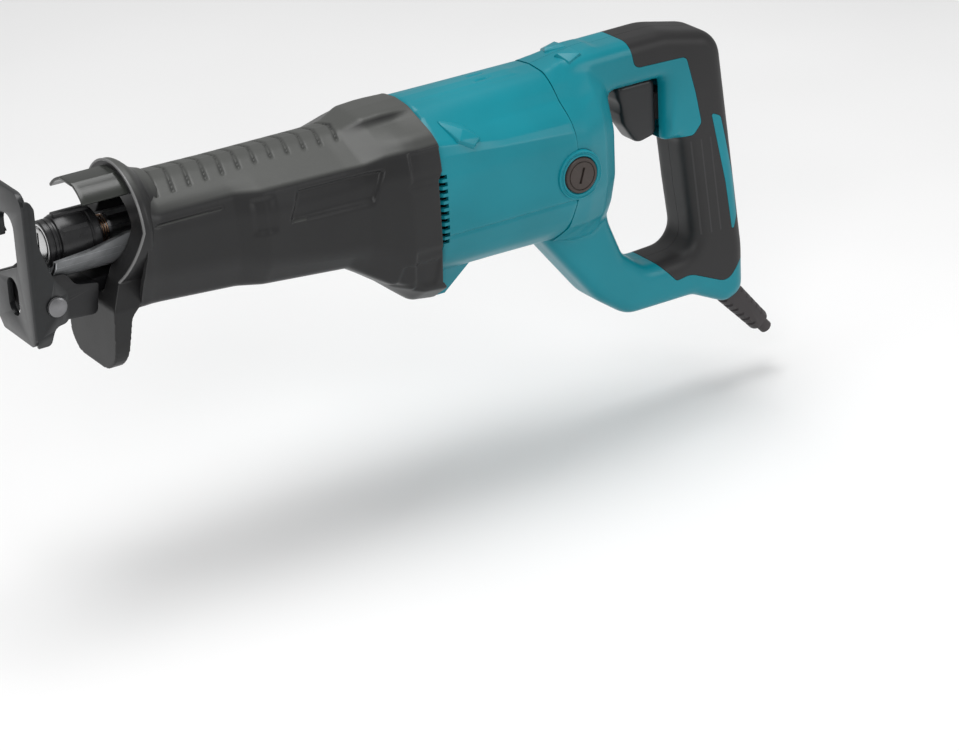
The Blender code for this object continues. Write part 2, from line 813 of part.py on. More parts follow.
def armature_core():
    """Laminated core with a winding head at each end."""
    profile = [(4.3, 239), (13, 239), (16.5, 235), (16.5, 225), (20.5, 225), (20.5, 183), (16.5, 183),
               (16.5, 180), (13, 177.5), (4.3, 177.5)]
    return turned("armature_core", profile, (0, 0, MOTOR_Z), (1, 0, 0), 24)


def commutator():
    return tube("commutator", (245, 0, MOTOR_Z), (267, 0, MOTOR_Z), 12.5, 4.3, 24)


def cooling_fan():
    """Disc with a hub and straight blades."""
    fan = drum("cooling_fan", (160, 0, MOTOR_Z), (162.5, 0, MOTOR_Z), 27, sides=28)
    bm = bmesh.new()
    for k in range(FAN_BLADES):
        blade = bmesh.ops.create_cube(bm, size=1.0)["verts"]
        bmesh.ops.scale(bm, vec=(8.6, 15, 1.2), verts=blade)
        bmesh.ops.translate(bm, vec=(165.9, 18.6, 0), verts=blade)
        turn = Matrix.Rotation(2 * math.pi * (k + 0.3) / FAN_BLADES, 3, "X")
        bmesh.ops.rotate(bm, cent=(0, 0, 0), matrix=turn, verts=blade)
    bmesh.ops.translate(bm, vec=(0, 0, MOTOR_Z), verts=bm.verts)
    join(fan, drum("fan_hub", (161, 0, MOTOR_Z), (171, 0, MOTOR_Z), 8, sides=16), add("fan_blades", bm))
    cut(fan, drum("fan_bore", (150, 0, MOTOR_Z), (180, 0, MOTOR_Z), 4.3, sides=16))
    return fan


def brush_set(side, label):
    y = side * 12.9
    brush = box(
        "carbon_brush_" + label,
        (BRUSH_X - 3, min(y, y + side * 14), BRUSH_Z - 2.5),
        (BRUSH_X + 3, max(y, y + side * 14), BRUSH_Z + 7.5),
    )
    holder = box(
        "brush_holder_" + label,
        (BRUSH_X - 6, min(side * 16, side * 35), BRUSH_Z - 5.5),
        (BRUSH_X + 6, max(side * 16, side * 35), BRUSH_Z + 10.5),
    )
    bore = box(
        "brush_bore_" + label,
        (BRUSH_X - 3.4, min(side * 10, side * 40), BRUSH_Z - 2.9),
        (BRUSH_X + 3.4, max(side * 10, side * 40), BRUSH_Z + 7.9),
    )
    cut(holder, bore)
    cap = drum("brush_cap_" + label, (BRUSH_X, side * 35.4, BRUSH_Z), (BRUSH_X, side * 43, BRUSH_Z),
               CAP_R, sides=24)
    bevel(cap, 0.8)
    slot = box("cap_slot_" + label, (-5.2, -2, -0.8), (5.2, 2, 0.8))
    slot.location = (BRUSH_X * MM, side * 43.5 * MM, BRUSH_Z * MM)
    slot.rotation_euler = (0, math.radians(72), 0)
    cut(cap, slot)
    return holder, brush, cap


# ---------------------------------------------------------------- handle


def handle_outline():
    corners = [
        (236, 25, 0),
        (262, 28, 20),
        (370.2, 30.6, 23),
        (385.5, -108, 70),
        (385.5, -137.5, 9),
        (373, -142.5, 8),
        (350, -131.5, 12),
        (304, -131.5, 18),
        (284.5, -117.5, 26),
        (240, -61, 0),
    ]
    return rounded(corners, 3)


def finger_opening():
    corners = [
        (298, 4.5, 5),
        (332, 4.5, 2),
        (332, -33, 2),
        (343.5, -34, 4),
        (347, -66, 30),
        (352, -104, 12),
        (318, -105.5, 14),
        (302.5, -93, 9),
        (292.3, -69, 24),
        (296, -34, 25),
        (291, -1.5, 5),
    ]
    return rounded(corners, 3)


def dome_sections():
    start = [(0, 27.8), (13, 26.4), (20.3, 21.6), (27, 13.3), (37.2, 4.6), (39.4, 0), (40.6, -8),
             (40.6, -40), (35, -57),
             (22, -67.5), (0, -69)]
    seam = [(0, 28), (13.4, 26.6), (20.3, 21.2), (26, 13.2), (36.6, 3.7), (39.4, -1.2), (40.5, -8),
            (40.3, -40),
            (34.5, -57.5), (22, -69), (0, -71)]
    rise = [(0, 30.2), (10.8, 29.2), (18.5, 21.2), (26, 11.5), (34.6, 1.8), (37.2, -3), (38.4, -10),
            (38.2, -40),
            (33, -58), (21, -72), (0, -78)]
    bulge = [(0, 32.1), (10.9, 31.3), (17.6, 22.5), (24.4, 12), (31, 1), (32.8, -4), (33.8, -12),
             (33.6, -40), (29, -58),
             (19, -72), (0, -79)]
    back = [(0, 32.2), (9.4, 31.7), (13.6, 24.5), (17.4, 13), (22.5, 1), (24.6, -5), (26.8, -14),
            (26.5, -38), (22, -54),
            (16, -66), (0, -76)]
    close = [(0, 28), (7.5, 27), (10, 20), (11.8, 10), (14, 0), (15.3, -6), (16.8, -15), (16.6, -36),
             (14, -50),
             (10, -58), (0, -62)]
    return [(226, start), (253, seam), (266, rise), (279, bulge), (289.5, back), (295, close)]


def handle_body(name):
    """Grip loop and motor dome as one solid."""
    body = plate(name, handle_outline(), "Y", 0, GRIP_HALF, finger_opening())
    dome = loft(name + "_dome", whole_skin(dome_sections()), True)
    cut(dome, plate(name + "_dome_opening", inset(finger_opening(), 1.1), "Y", 0, 60))
    join(body, dome)
    cut(body, seam_side(name + "_seam_ahead", GAP, False))
    return body


def grip_region():
    """Side outline of the rubber overmould."""
    corners = [
        (297, 60, 0),
        (299, 40, 0),
        (308, 33, 5),
        (311, 16, 5),
        (346, 15, 4),
        (352, -8, 10),
        (355.5, -26, 3),
        (350, -32, 3),
        (306, -36, 0),
        (306, -94, 0),
        (319, -99, 10),
        (336, -117.5, 3),
        (346, -116, 12),
        (372, -127.5, 8),
        (381, -117, 6),
        (410, -105, 0),
        (410, 60, 0),
    ]
    return rounded(corners, 2)


def handle_core(name, slack):
    outline = inset(handle_outline(), CORE_INSET - slack)
    hole = inset(finger_opening(), -(CORE_INSET - slack))
    return plate(name, outline, "Y", 0, CORE_HALF + slack, hole)


def overmould_room():
    """What the overmould takes out of the handle."""
    room = plate("overmould_room", grip_region(), "Y", 0, 40)
    cut(room, handle_core("core_inside", 0))
    return room


def hollow_sections():
    wide = [(0, 24.6), (11, 23.8), (17, 18.2), (22.5, 10.2), (32.5, 0.8), (36.8, -8), (37.2, -38),
            (32, -54), (20, -63.5),
            (0, -64)]
    middle = [(0, 26.5), (8.5, 26), (14.5, 18.2), (21, 8.8), (27, -0.5), (30.6, -12), (30.6, -38),
              (26, -54), (16, -66),
              (0, -68)]
    end = [(0, 27), (7, 26.5), (10.5, 18), (14, 8.5), (18, -2), (21, -13), (21, -36), (18, -51),
           (12, -60), (0, -66)]
    return [(220, wide), (256, wide), (273, middle), (285, end)]


def handle_hollow():
    """Room for the switch, the wires and the rear of the motor."""
    hollow = loft("handle_hollow", whole_skin(hollow_sections()), True)
    top = [
        (280, 21.5, 0),
        (280, 10, 0),
        (340, 10, 4),
        (352, 6, 4),
        (357, -30, 4),
        (362, -110, 4),
        (376, -110, 4),
        (368.5, -20, 8),
        (352, 19.5, 8),
    ]
    join(hollow, plate("wire_room", rounded(top), "Y", 0, 10.5))
    return hollow


def trigger_pocket():
    return box("trigger_pocket", (325, -8.6, -32.4), (352, 8.6, 4.4))


CORD_START = Vector((380.5, 0, -138.5))
CORD_WAY = Vector((0.669, 0, -0.743))


def cord_point(s):
    return CORD_START + CORD_WAY * s


SCREWS = ((284, -99), (318, -118.5), (351, -123.5), (334, 21.3))


def screw_cutters(name):
    holes = []
    for k, (x, z) in enumerate(SCREWS):
        shank = drum("%s_hole_%d" % (name, k), (x, -13, z), (x, 30, z), 2.3, sides=12)
        head = drum("%s_sink_%d" % (name, k), (x, 12.5, z), (x, 30, z), 3.9, sides=12)
        join(shank, head)
        holes.append(shank)
    return holes


def other_side(name, side):
    """Everything beyond the joint face between the two halves."""
    low = -SPLIT_HALF if side < 0 else -60
    high = 60 if side < 0 else SPLIT_HALF
    return box(name + "_split", (150, low, -250), (450, high, 100))


def handle_half(name, side):
    half = handle_body(name)
    cut(half, ROOM, HOLLOW, POCKET, GUARD_ROOM, CORD_ROOM, CAP_ROOM)
    cut(half, *SCREW_ROOM)
    cut(half, other_side(name, side))
    if side > 0:
        cut(half, drum("button_bore", (BUTTON_X, 5, BUTTON_Z), (BUTTON_X, 30, BUTTON_Z), 5.0, sides=18))
    return half


def grip_half(name, side):
    half = handle_body(name)
    keep(half, GRIP_BLOCK)
    cut(half, CORE_OUTSIDE, POCKET_WIDE)
    cut(half, other_side(name, side))
    cut(half, SCREW_ROOM[3])
    return half


def shared_handle_cutters():
    global ROOM, HOLLOW, POCKET, GUARD_ROOM, CORD_ROOM, CAP_ROOM, SCREW_ROOM
    global GRIP_BLOCK, CORE_OUTSIDE, POCKET_WIDE
    ROOM = overmould_room()
    HOLLOW = handle_hollow()
    POCKET = trigger_pocket()
    GUARD_ROOM = drum("guard_room", cord_point(-8.4), cord_point(60), 8.7, sides=18)
    CORD_ROOM = drum("cord_room", cord_point(-34), cord_point(0), 4.5, sides=16)
    CAP_ROOM = drum("cap_room", (BRUSH_X, -60, BRUSH_Z), (BRUSH_X, 60, BRUSH_Z), 14.4, sides=24)
    SCREW_ROOM = screw_cutters("handle")
    GRIP_BLOCK = plate("grip_block", inset(grip_region(), GAP), "Y", 0, 40)
    CORE_OUTSIDE = handle_core("core_outside", GAP)
    POCKET_WIDE = box("pocket_wide", (320, -9, -33), (352, 9, 4))


def trigger():
    corners = [
        (305, 3.8, 2),
        (331, 3.8, 3),
        (331.3, -30, 3),
        (318, -33, 5),
        (309.5, -20, 8),
    ]
    blade = plate("trigger", rounded(corners, 4), "Y", 0, 8.0)
    bevel(blade, 1.5, 1, 50)
    join(blade, box("trigger_stem", (328, -6, -22), (341, 6, -6)))
    return blade


def lock_on_button():
    return drum("lock_on_button", (BUTTON_X, 12.9, BUTTON_Z), (BUTTON_X, 20.4, BUTTON_Z), 4.7, 4.5,
                sides=18)


def switch_body():
    return box("switch_body", (358.2, -9.5, -34), (363, 9.5, -11))


def cord_guard():
    profile = [(8.4, -8), (8.4, -4), (7.6, -3), (8.2, 0), (6.4, 38), (4.3, 38), (4.3, -8)]
    return turned("cord_guard", profile, cord_point(0), CORD_WAY, 28)


def power_cord():
    return drum("power_cord", cord_point(-30), cord_point(46), 4.0, sides=16)


def handle_screws():
    made = []
    for k, (x, z) in enumerate(SCREWS):
        screw = drum("handle_screw_%d" % (k + 1), (x, -12, z), (x, 13.5, z), 2.0, sides=10)
        head = drum("handle_screw_%d_head" % (k + 1), (x, 12.9, z), (x, 15.6, z), 3.5, sides=12)
        join(screw, head)
        made.append(screw)
    return made


# ---------------------------------------------------------------- assembly


def front_parts():
    dress(paint("boot_rubber", RUBBER, 0.55), insulation_boot())
    dress(paint("hood_smoke", SMOKE, 0.25), nose_hood())
    alloy = paint("cast_aluminium", ALUMINIUM, 0.45, 0.9)
    dress(alloy, gear_housing())
    dress(alloy, gear_housing_cover())
    dress(alloy, gearbox_rear_wall())
    bush, seal = rod_guides()
    dress(paint("bush_bronze", BRONZE, 0.35, 0.9), bush)
    dress(paint("seal_rubber", (0.02, 0.02, 0.02), 0.7), seal)


def crank_parts():
    steel = paint("gear_steel", STEEL, 0.35, 1.0)
    dress(paint("carrier_alloy", ALUMINIUM, 0.5, 0.9), bearing_carrier())
    upper = bearing("crank_bearing_upper", (CRANK_X, 0, -25), (0, 0, 1), 12.4, 6.3, 7)
    lower = bearing("crank_bearing_lower", (CRANK_X, 0, -34), (0, 0, 1), 12.4, 6.3, 6)
    dress(steel, upper)
    dress(steel, lower)
    gear = dress(steel, crank_gear())
    pin, roller = crank_pin_and_roller()
    dress(steel, pin)
    dress(steel, roller)
    axis = joint_empty("crank_axis", (CRANK_X, 0, -14))
    attach(axis, gear, pin, roller)


def stroke_parts():
    steel = paint("rod_steel", STEEL, 0.25, 1.0)
    rod = dress(steel, slider_rod())
    sleeve_guide = dress(paint("guide_bright", (0.6, 0.6, 0.6), 0.2, 1.0), clamp_guide_sleeve())
    ring = tube("retaining_ring", (-44.6, 0, 0), (-42.8, 0, 0), 11.0, GUIDE_R + GAP, 24)
    dress(paint("ring_bright", (0.65, 0.65, 0.66), 0.2, 1.0), ring)
    spring = dress(paint("spring_copper", COPPER, 0.3, 1.0), clamp_spring())
    turning = dress(paint("sleeve_black", BLACKENED, 0.4, 0.4), clamp_sleeve())
    pin = dress(steel, lock_pin())
    axis = joint_empty("stroke_axis", (0, 0, 0))
    attach(axis, rod, sleeve_guide, ring, spring)
    sleeve_axis = joint_empty("sleeve_axis", (LOCK_PIN_X, 0, 0), axis)
    attach(sleeve_axis, turning)
    pin_axis = joint_empty("lock_pin_axis", (LOCK_PIN_X, 0, 0), axis)
    attach(pin_axis, pin)


def shoe_parts():
    black = paint("shoe_black", (0.02, 0.021, 0.023), 0.42, 0.6)
    holder = dress(paint("holder_black", (0.035, 0.036, 0.038), 0.45, 0.6), shoe_holder())
    pin = dress(paint("pin_grey", (0.10, 0.10, 0.10), 0.35, 0.9), shoe_pivot_pin())
    face = dress(black, shoe())
    slide = joint_empty("shoe_slide", (PIVOT_X, 0, PIVOT_Z))
    attach(slide, holder, pin)
    pivot = joint_empty("shoe_pivot", (PIVOT_X, 0, PIVOT_Z), slide)
    attach(pivot, face)


def motor_parts():
    teal = paint("housing_teal", TEAL, 0.38)
    dress(teal, motor_housing())
    dress(paint("baffle_black", (0.015, 0.015, 0.015), 0.6), air_baffle())
    dress(paint("lamination", (0.25, 0.25, 0.26), 0.5, 0.8), field_core())
    dress(paint("coil_copper", COPPER, 0.4, 0.9), *field_coils())
    steel = paint("bearing_steel", STEEL, 0.3, 1.0)
    dress(steel, bearing("front_motor_bearing", (128, 0, MOTOR_Z), (1, 0, 0), 12.0, 4.3, 7))
    dress(steel, bearing("rear_motor_bearing", (273.5, 0, MOTOR_Z), (1, 0, 0), 10.0, 4.3, 7))
    shaft = dress(steel, armature_shaft())
    pinion = dress(steel, motor_pinion())
    core = dress(paint("armature_iron", (0.22, 0.20, 0.19), 0.5, 0.8), armature_core())
    ring = dress(paint("commutator_copper", COPPER, 0.3, 1.0), commutator())
    fan = dress(paint("fan_white", (0.55, 0.55, 0.52), 0.6), cooling_fan())
    axis = joint_empty("armature_axis", (200, 0, MOTOR_Z))
    attach(axis, shaft, pinion, core, ring, fan)
    brass = paint("brush_holder_brass", BRONZE, 0.4, 0.9)
    carbon = paint("brush_carbon", CARBON, 0.6)
    brown = paint("cap_brown", (0.035, 0.028, 0.026), 0.45)
    for side, label in ((-1, "left"), (1, "right")):
        holder, brush, cap = brush_set(side, label)
        dress(brass, holder)
        dress(carbon, brush)
        dress(brown, cap)


def handle_parts():
    shared_handle_cutters()
    teal = paint("handle_teal", TEAL, 0.38)
    grey = paint("grip_grey", GRIP_GREY, 0.65)
    dress(teal, handle_half("handle_left", -1))
    dress(teal, handle_half("handle_right", 1))
    dress(grey, grip_half("grip_left", -1))
    dress(grey, grip_half("grip_right", 1))
    pull = dress(paint("trigger_black", (0.03, 0.03, 0.03), 0.45), trigger())
    attach(joint_empty("trigger_slide", (318, 0, -12)), pull)
    button = dress(paint("button_black", (0.04, 0.04, 0.04), 0.5), lock_on_button())
    attach(joint_empty("button_slide", (BUTTON_X, 16, BUTTON_Z)), button)
    dress(paint("switch_black", (0.02, 0.02, 0.02), 0.6), switch_body())
    dress(paint("guard_rubber", (0.045, 0.04, 0.04), 0.7), cord_guard())
    dress(paint("cord_rubber", (0.03, 0.03, 0.03), 0.65), power_cord())
    dress(paint("screw_steel", STEEL, 0.35, 1.0), *handle_screws())


def put_blade_stop_at_origin():
    """Everything hangs on one empty that carries the saw to its own frame."""
    frame = bpy.data.objects.new("blade_stop", None)
    SAW.objects.link(frame)
    loose = [piece for piece in bpy.data.objects if piece.parent is None and piece is not frame]
    attach(frame, *loose)
    frame.location.x = -SLOT_END_X * MM
    bpy.context.view_layer.update()


front_parts()
crank_parts()
stroke_parts()
shoe_parts()
motor_parts()
handle_parts()
put_blade_stop_at_origin()
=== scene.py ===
import math

import bmesh
import bpy
import numpy as np
from mathutils import Euler, Matrix, Vector


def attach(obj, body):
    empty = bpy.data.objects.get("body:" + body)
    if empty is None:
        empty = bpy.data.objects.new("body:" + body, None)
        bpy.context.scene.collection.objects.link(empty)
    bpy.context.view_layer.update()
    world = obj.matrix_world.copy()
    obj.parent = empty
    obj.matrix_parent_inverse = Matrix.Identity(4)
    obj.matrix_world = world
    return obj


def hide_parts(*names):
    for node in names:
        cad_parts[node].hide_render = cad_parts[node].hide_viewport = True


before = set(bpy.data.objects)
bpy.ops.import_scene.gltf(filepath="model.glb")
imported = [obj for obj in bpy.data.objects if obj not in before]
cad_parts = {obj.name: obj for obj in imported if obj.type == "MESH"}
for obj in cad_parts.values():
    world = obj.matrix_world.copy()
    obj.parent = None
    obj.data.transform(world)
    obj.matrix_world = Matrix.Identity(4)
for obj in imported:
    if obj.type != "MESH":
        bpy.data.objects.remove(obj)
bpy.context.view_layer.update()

# Positions below are in millimetres from the boot's mouth on the rod's axis, as in the CAD;
# the world origin is the bottom of the blade slot, 20 mm ahead of the mouth.
MM = 0.001
SHIFT = Vector((20, 0, 0))
PIVOT = (-48.4, -26)
BRUSH = (256.5, -25.5)
BUTTON = (339, -12)
SIDES = ((-1, "left"), (1, "right"))
# half the boot's greatest width, which nothing may pass
WIDEST = 43.6
BOOT_SKIN = 2.8
CASE_SKIN = 2.4
MOUTH_R = 19.2
BEAD_R = 32.4
BORE_R = 4.3
RIBS = 12
FIRST_RIB_X = 14.3
RIB_PITCH = 9.8
VENT_PITCH = 4.1
REAR_VENT_PITCH = 6.2
GRIP_HALF = 17.0
GRIP_ROUNDING = 8.0
CORE_HALF = 12.4
CORE_INSET = 4.6
SPLIT_HALF = 0.1
FLOOR_Z = -0.198


# ---------------- mesh helpers


def add(name, bm):
    bmesh.ops.translate(bm, vec=SHIFT, verts=bm.verts)
    bmesh.ops.scale(bm, vec=(MM, MM, MM), verts=bm.verts)
    bmesh.ops.recalc_face_normals(bm, faces=bm.faces)
    mesh = bpy.data.meshes.new(name)
    bm.to_mesh(mesh)
    bm.free()
    made = bpy.data.objects.new(name, mesh)
    bpy.context.scene.collection.objects.link(made)
    return made


def bake(made):
    """Applies every modifier."""
    graph = bpy.context.evaluated_depsgraph_get()
    mesh = bpy.data.meshes.new_from_object(made.evaluated_get(graph))
    made.modifiers.clear()
    made.data = mesh
    return made


def boolean(made, others, operation, messy=False):
    for other in others:
        modifier = made.modifiers.new("cut", "BOOLEAN")
        modifier.operation = operation
        modifier.solver = "EXACT"
        modifier.use_self = messy
        modifier.object = other
    bake(made)
    for other in others:
        bpy.data.objects.remove(other, do_unlink=True)
    return made


def cut(made, *others, messy=False):
    return boolean(made, others, "DIFFERENCE", messy)


def join(made, *others):
    return boolean(made, others, "UNION")


def copy_of(made, name):
    twin = bpy.data.objects.new(name, made.data.copy())
    bpy.context.scene.collection.objects.link(twin)
    return twin


def bevel(made, width, segments=3, angle=30):
    modifier = made.modifiers.new("bevel", "BEVEL")
    modifier.width = width * MM
    modifier.segments = segments
    modifier.limit_method = "ANGLE"
    modifier.angle_limit = math.radians(angle)
    return bake(made)


def smooth(made, angle=35):
    made.data.shade_smooth()
    made.data.set_sharp_from_angle(angle=math.radians(angle))


def soften(made, voxel, steps, factor=0.5):
    """Turns a shape into one moulded skin with rounded edges."""
    modifier = made.modifiers.new("remesh", "REMESH")
    modifier.mode = "VOXEL"
    modifier.voxel_size = voxel * MM
    relax = made.modifiers.new("relax", "SMOOTH")
    relax.factor = factor
    relax.iterations = steps
    return bake(made)


def box(name, low, high):
    bm = bmesh.new()
    bmesh.ops.create_cube(bm, size=1)
    size = [b - a for a, b in zip(low, high)]
    middle = [(a + b) / 2 for a, b in zip(low, high)]
    bmesh.ops.scale(bm, vec=size, verts=bm.verts)
    bmesh.ops.translate(bm, vec=middle, verts=bm.verts)
    return add(name, bm)


def drum(name, start, end, radius, end_radius=None, sides=48):
    start = Vector(start)
    end = Vector(end)
    bm = bmesh.new()
    bmesh.ops.create_cone(
        bm,
        cap_ends=True,
        segments=sides,
        radius1=radius,
        radius2=radius if end_radius is None else end_radius,
        depth=(end - start).length,
    )
    turn = Vector((0, 0, 1)).rotation_difference(end - start).to_matrix()
    bmesh.ops.rotate(bm, cent=(0, 0, 0), matrix=turn, verts=bm.verts)
    bmesh.ops.translate(bm, vec=(start + end) / 2, verts=bm.verts)
    return add(name, bm)


def lathe(name, profile, origin, direction, steps=72):
    """A closed profile of (radius, height) points turned about an axis."""
    bm = bmesh.new()
    turn = Vector((0, 0, 1)).rotation_difference(Vector(direction)).to_matrix()
    rings = []
    for k in range(steps):
        angle = 2 * math.pi * k / steps
        ring = []
        for radius, height in profile:
            spot = Vector((radius * math.cos(angle), radius * math.sin(angle), height))
            ring.append(bm.verts.new(Vector(origin) + turn @ spot))
        rings.append(ring)
    count = len(profile)
    for k in range(steps):
        for i in range(count):
            j = (i + 1) % count
            bm.faces.new((rings[k][i], rings[k][j], rings[(k + 1) % steps][j], rings[(k + 1) % steps][i]))
    bmesh.ops.remove_doubles(bm, verts=bm.verts, dist=0.001)
    return add(name, bm)


def rounded(corners, steps=6):
    """A closed outline whose corners (a, b, radius) become arcs."""
    points = []
    for i, (a, b, radius) in enumerate(corners):
        here = Vector((a, b))
        if radius <= 0:
            points.append((a, b))
            continue
        before = Vector(corners[i - 1][:2]) - here
        after = Vector(corners[(i + 1) % len(corners)][:2]) - here
        half = before.angle(after) / 2
        reach = min(radius / math.tan(half), 0.48 * before.length, 0.48 * after.length)
        size = reach * math.tan(half)
        centre = here + (before.normalized() + after.normalized()).normalized() * size / math.sin(half)
        first = here + before.normalized() * reach - centre
        last = here + after.normalized() * reach - centre
        sweep = math.atan2(first.x * last.y - first.y * last.x, first.dot(last))
        for k in range(steps + 1):
            points.append(tuple(centre + Matrix.Rotation(sweep * k / steps, 2) @ first))
    return points


def inset(outline, distance):
    count = len(outline)
    area = sum(
        outline[i - 1][0] * outline[i][1] - outline[i][0] * outline[i - 1][1]
        for i in range(count)
    )
    side = 1.0 if area > 0 else -1.0
    points = []
    for i in range(count):
        here = Vector(outline[i])
        u = (here - Vector(outline[i - 1])).normalized()
        v = (Vector(outline[(i + 1) % count]) - here).normalized()
        normal_u = Vector((-u.y, u.x)) * side
        spread = normal_u + Vector((-v.y, v.x)) * side
        points.append(tuple(here + spread * distance / max(0.3, spread.dot(normal_u))))
    return points


def mesh_of(curve):
    flat = bpy.data.objects.new("curve", curve)
    bpy.context.scene.collection.objects.link(flat)
    graph = bpy.context.evaluated_depsgraph_get()
    mesh = bpy.data.meshes.new_from_object(flat.evaluated_get(graph))
    bpy.data.objects.remove(flat, do_unlink=True)
    bm = bmesh.new()
    bm.from_mesh(mesh)
    bmesh.ops.remove_doubles(bm, verts=bm.verts, dist=0.0005)
    return bm


def plate(name, outline, axis, middle, half, hole=None):
    """A flat outline made thick along X, Y or Z."""
    curve = bpy.data.curves.new(name, "CURVE")
    curve.dimensions = "2D"
    curve.fill_mode = "BOTH"
    curve.extrude = half
    for points in (outline, hole):
        if points:
            spline = curve.splines.new("POLY")
            spline.points.add(len(points) - 1)
            spline.use_cyclic_u = True
            for target, (a, b) in zip(spline.points, points):
                target.co = (a, b, 0, 1)
    bm = mesh_of(curve)
    if not hole:
        bmesh.ops.dissolve_limit(bm, angle_limit=0.001, verts=bm.verts, edges=bm.edges)
    turns = {
        "X": Matrix(((0, 0, 1), (1, 0, 0), (0, 1, 0))),
        "Y": Matrix(((1, 0, 0), (0, 0, -1), (0, 1, 0))),
        "Z": Matrix.Identity(3),
    }
    shift = {"X": (middle, 0, 0), "Y": (0, middle, 0), "Z": (0, 0, middle)}
    bmesh.ops.rotate(bm, cent=(0, 0, 0), matrix=turns[axis], verts=bm.verts)
    bmesh.ops.translate(bm, vec=shift[axis], verts=bm.verts)
    return add(name, bm)


def puffed(name, outline, hole, half, radius, steps=6):
    """A plate across Y with a rounded outer edge and a rounded opening."""
    levels = []
    for k in range(steps + 1):
        turn = math.pi / 2 * k / steps
        levels.append((half - radius + radius * math.sin(turn), radius * (1 - math.cos(turn))))
    levels = [(-y, d) for y, d in reversed(levels)] + levels
    bm = bmesh.new()
    shapes = []
    for shape, way in ((outline, 1), (hole, -1)):
        rings = [[bm.verts.new((x, y, z)) for x, z in inset(shape, way * d)] for y, d in levels]
        for a, b in zip(rings, rings[1:]):
            for i in range(len(a)):
                j = (i + 1) % len(a)
                bm.faces.new((a[i], a[j], b[j], b[i]))
        shapes.append(rings)
    for end in (0, -1):
        edges = []
        for rings in shapes:
            ring = rings[end]
            edges += [bm.edges.get((ring[i - 1], ring[i])) for i in range(len(ring))]
        bmesh.ops.triangle_fill(bm, edges=edges, use_beauty=True)
    return add(name, bm)


def both_sides(half_section):
    mirrored = [(-y, z) for y, z in reversed(half_section) if y > 0]
    return list(half_section) + mirrored


def loft(name, stations):
    """Closed skin over rings given as (x, half section of (y, z))."""
    bm = bmesh.new()
    rings = [[bm.verts.new((x, y, z)) for y, z in both_sides(half)] for x, half in stations]
    count = len(rings[0])
    for ring, following in zip(rings, rings[1:]):
        for i in range(count):
            j = (i + 1) % count
            bm.faces.new((ring[i], ring[j], following[j], following[i]))
    bm.faces.new(rings[0])
    bm.faces.new(rings[-1])
    return add(name, bm)


def hull(name, points):
    bm = bmesh.new()
    for point in points:
        bm.verts.new(point)
    result = bmesh.ops.convex_hull(bm, input=bm.verts)
    inner = [g for g in result["geom_interior"] if isinstance(g, bmesh.types.BMVert)]
    bmesh.ops.delete(bm, geom=inner, context="VERTS")
    bmesh.ops.dissolve_limit(bm, angle_limit=0.02, verts=bm.verts, edges=bm.edges)
    return add(name, bm)


def wire(name, points, radius, resolution=4):
    """A round wire along points, made a mesh."""
    curve = bpy.data.curves.new(name, "CURVE")
    curve.dimensions = "3D"
    curve.bevel_depth = radius
    curve.bevel_resolution = resolution
    curve.use_fill_caps = True
    spline = curve.splines.new("POLY")
    spline.points.add(len(points) - 1)
    for target, point in zip(spline.points, points):
        target.co = (*point, 1)
    return add(name, mesh_of(curve))


# ---------------- moulded skins


def ring_path(corners, samples):
    """Half section corners (y, z, reach) sampled evenly per stretch, corners blended."""
    points = []
    count = len(corners)
    for i in range(count - 1):
        start = np.array(corners[i][:2])
        end = np.array(corners[i + 1][:2])
        way = end - start
        length = np.linalg.norm(way)
        lead = min(corners[i][2], 0.45 * length)
        tail = min(corners[i + 1][2], 0.45 * length)
        a = start + way * lead / length
        b = end - way * tail / length
        for k in range(samples[i]):
            points.append(a + (b - a) * k / samples[i])
        if i < count - 2:
            following = np.array(corners[i + 2][:2]) - end
            step = min(corners[i + 1][2], 0.45 * np.linalg.norm(following))
            c = end + following * step / np.linalg.norm(following)
            for k in range(5):
                t = k / 5
                points.append((1 - t) ** 2 * b + 2 * t * (1 - t) * end + t * t * c)
    points.append(np.array(corners[-1][:2]))
    return np.array(points)


def section_table(stations, reaches, samples, soft):
    """Sections every half millimetre, with the creases between stations softened."""
    xs = np.arange(stations[0][0] - 4, stations[-1][0] + 4.5, 0.5)
    keys = np.array([half for _, half in stations], float)
    at = np.array([x for x, _ in stations], float)
    table = []
    for x in xs:
        window = np.linspace(x - soft, x + soft, 9)
        corners = []
        for i in range(keys.shape[1]):
            y = np.interp(window, at, keys[:, i, 0]).mean()
            z = np.interp(window, at, keys[:, i, 1]).mean()
            corners.append((y, z, reaches[i]))
        table.append(ring_path(corners, samples))
    return xs, np.array(table)


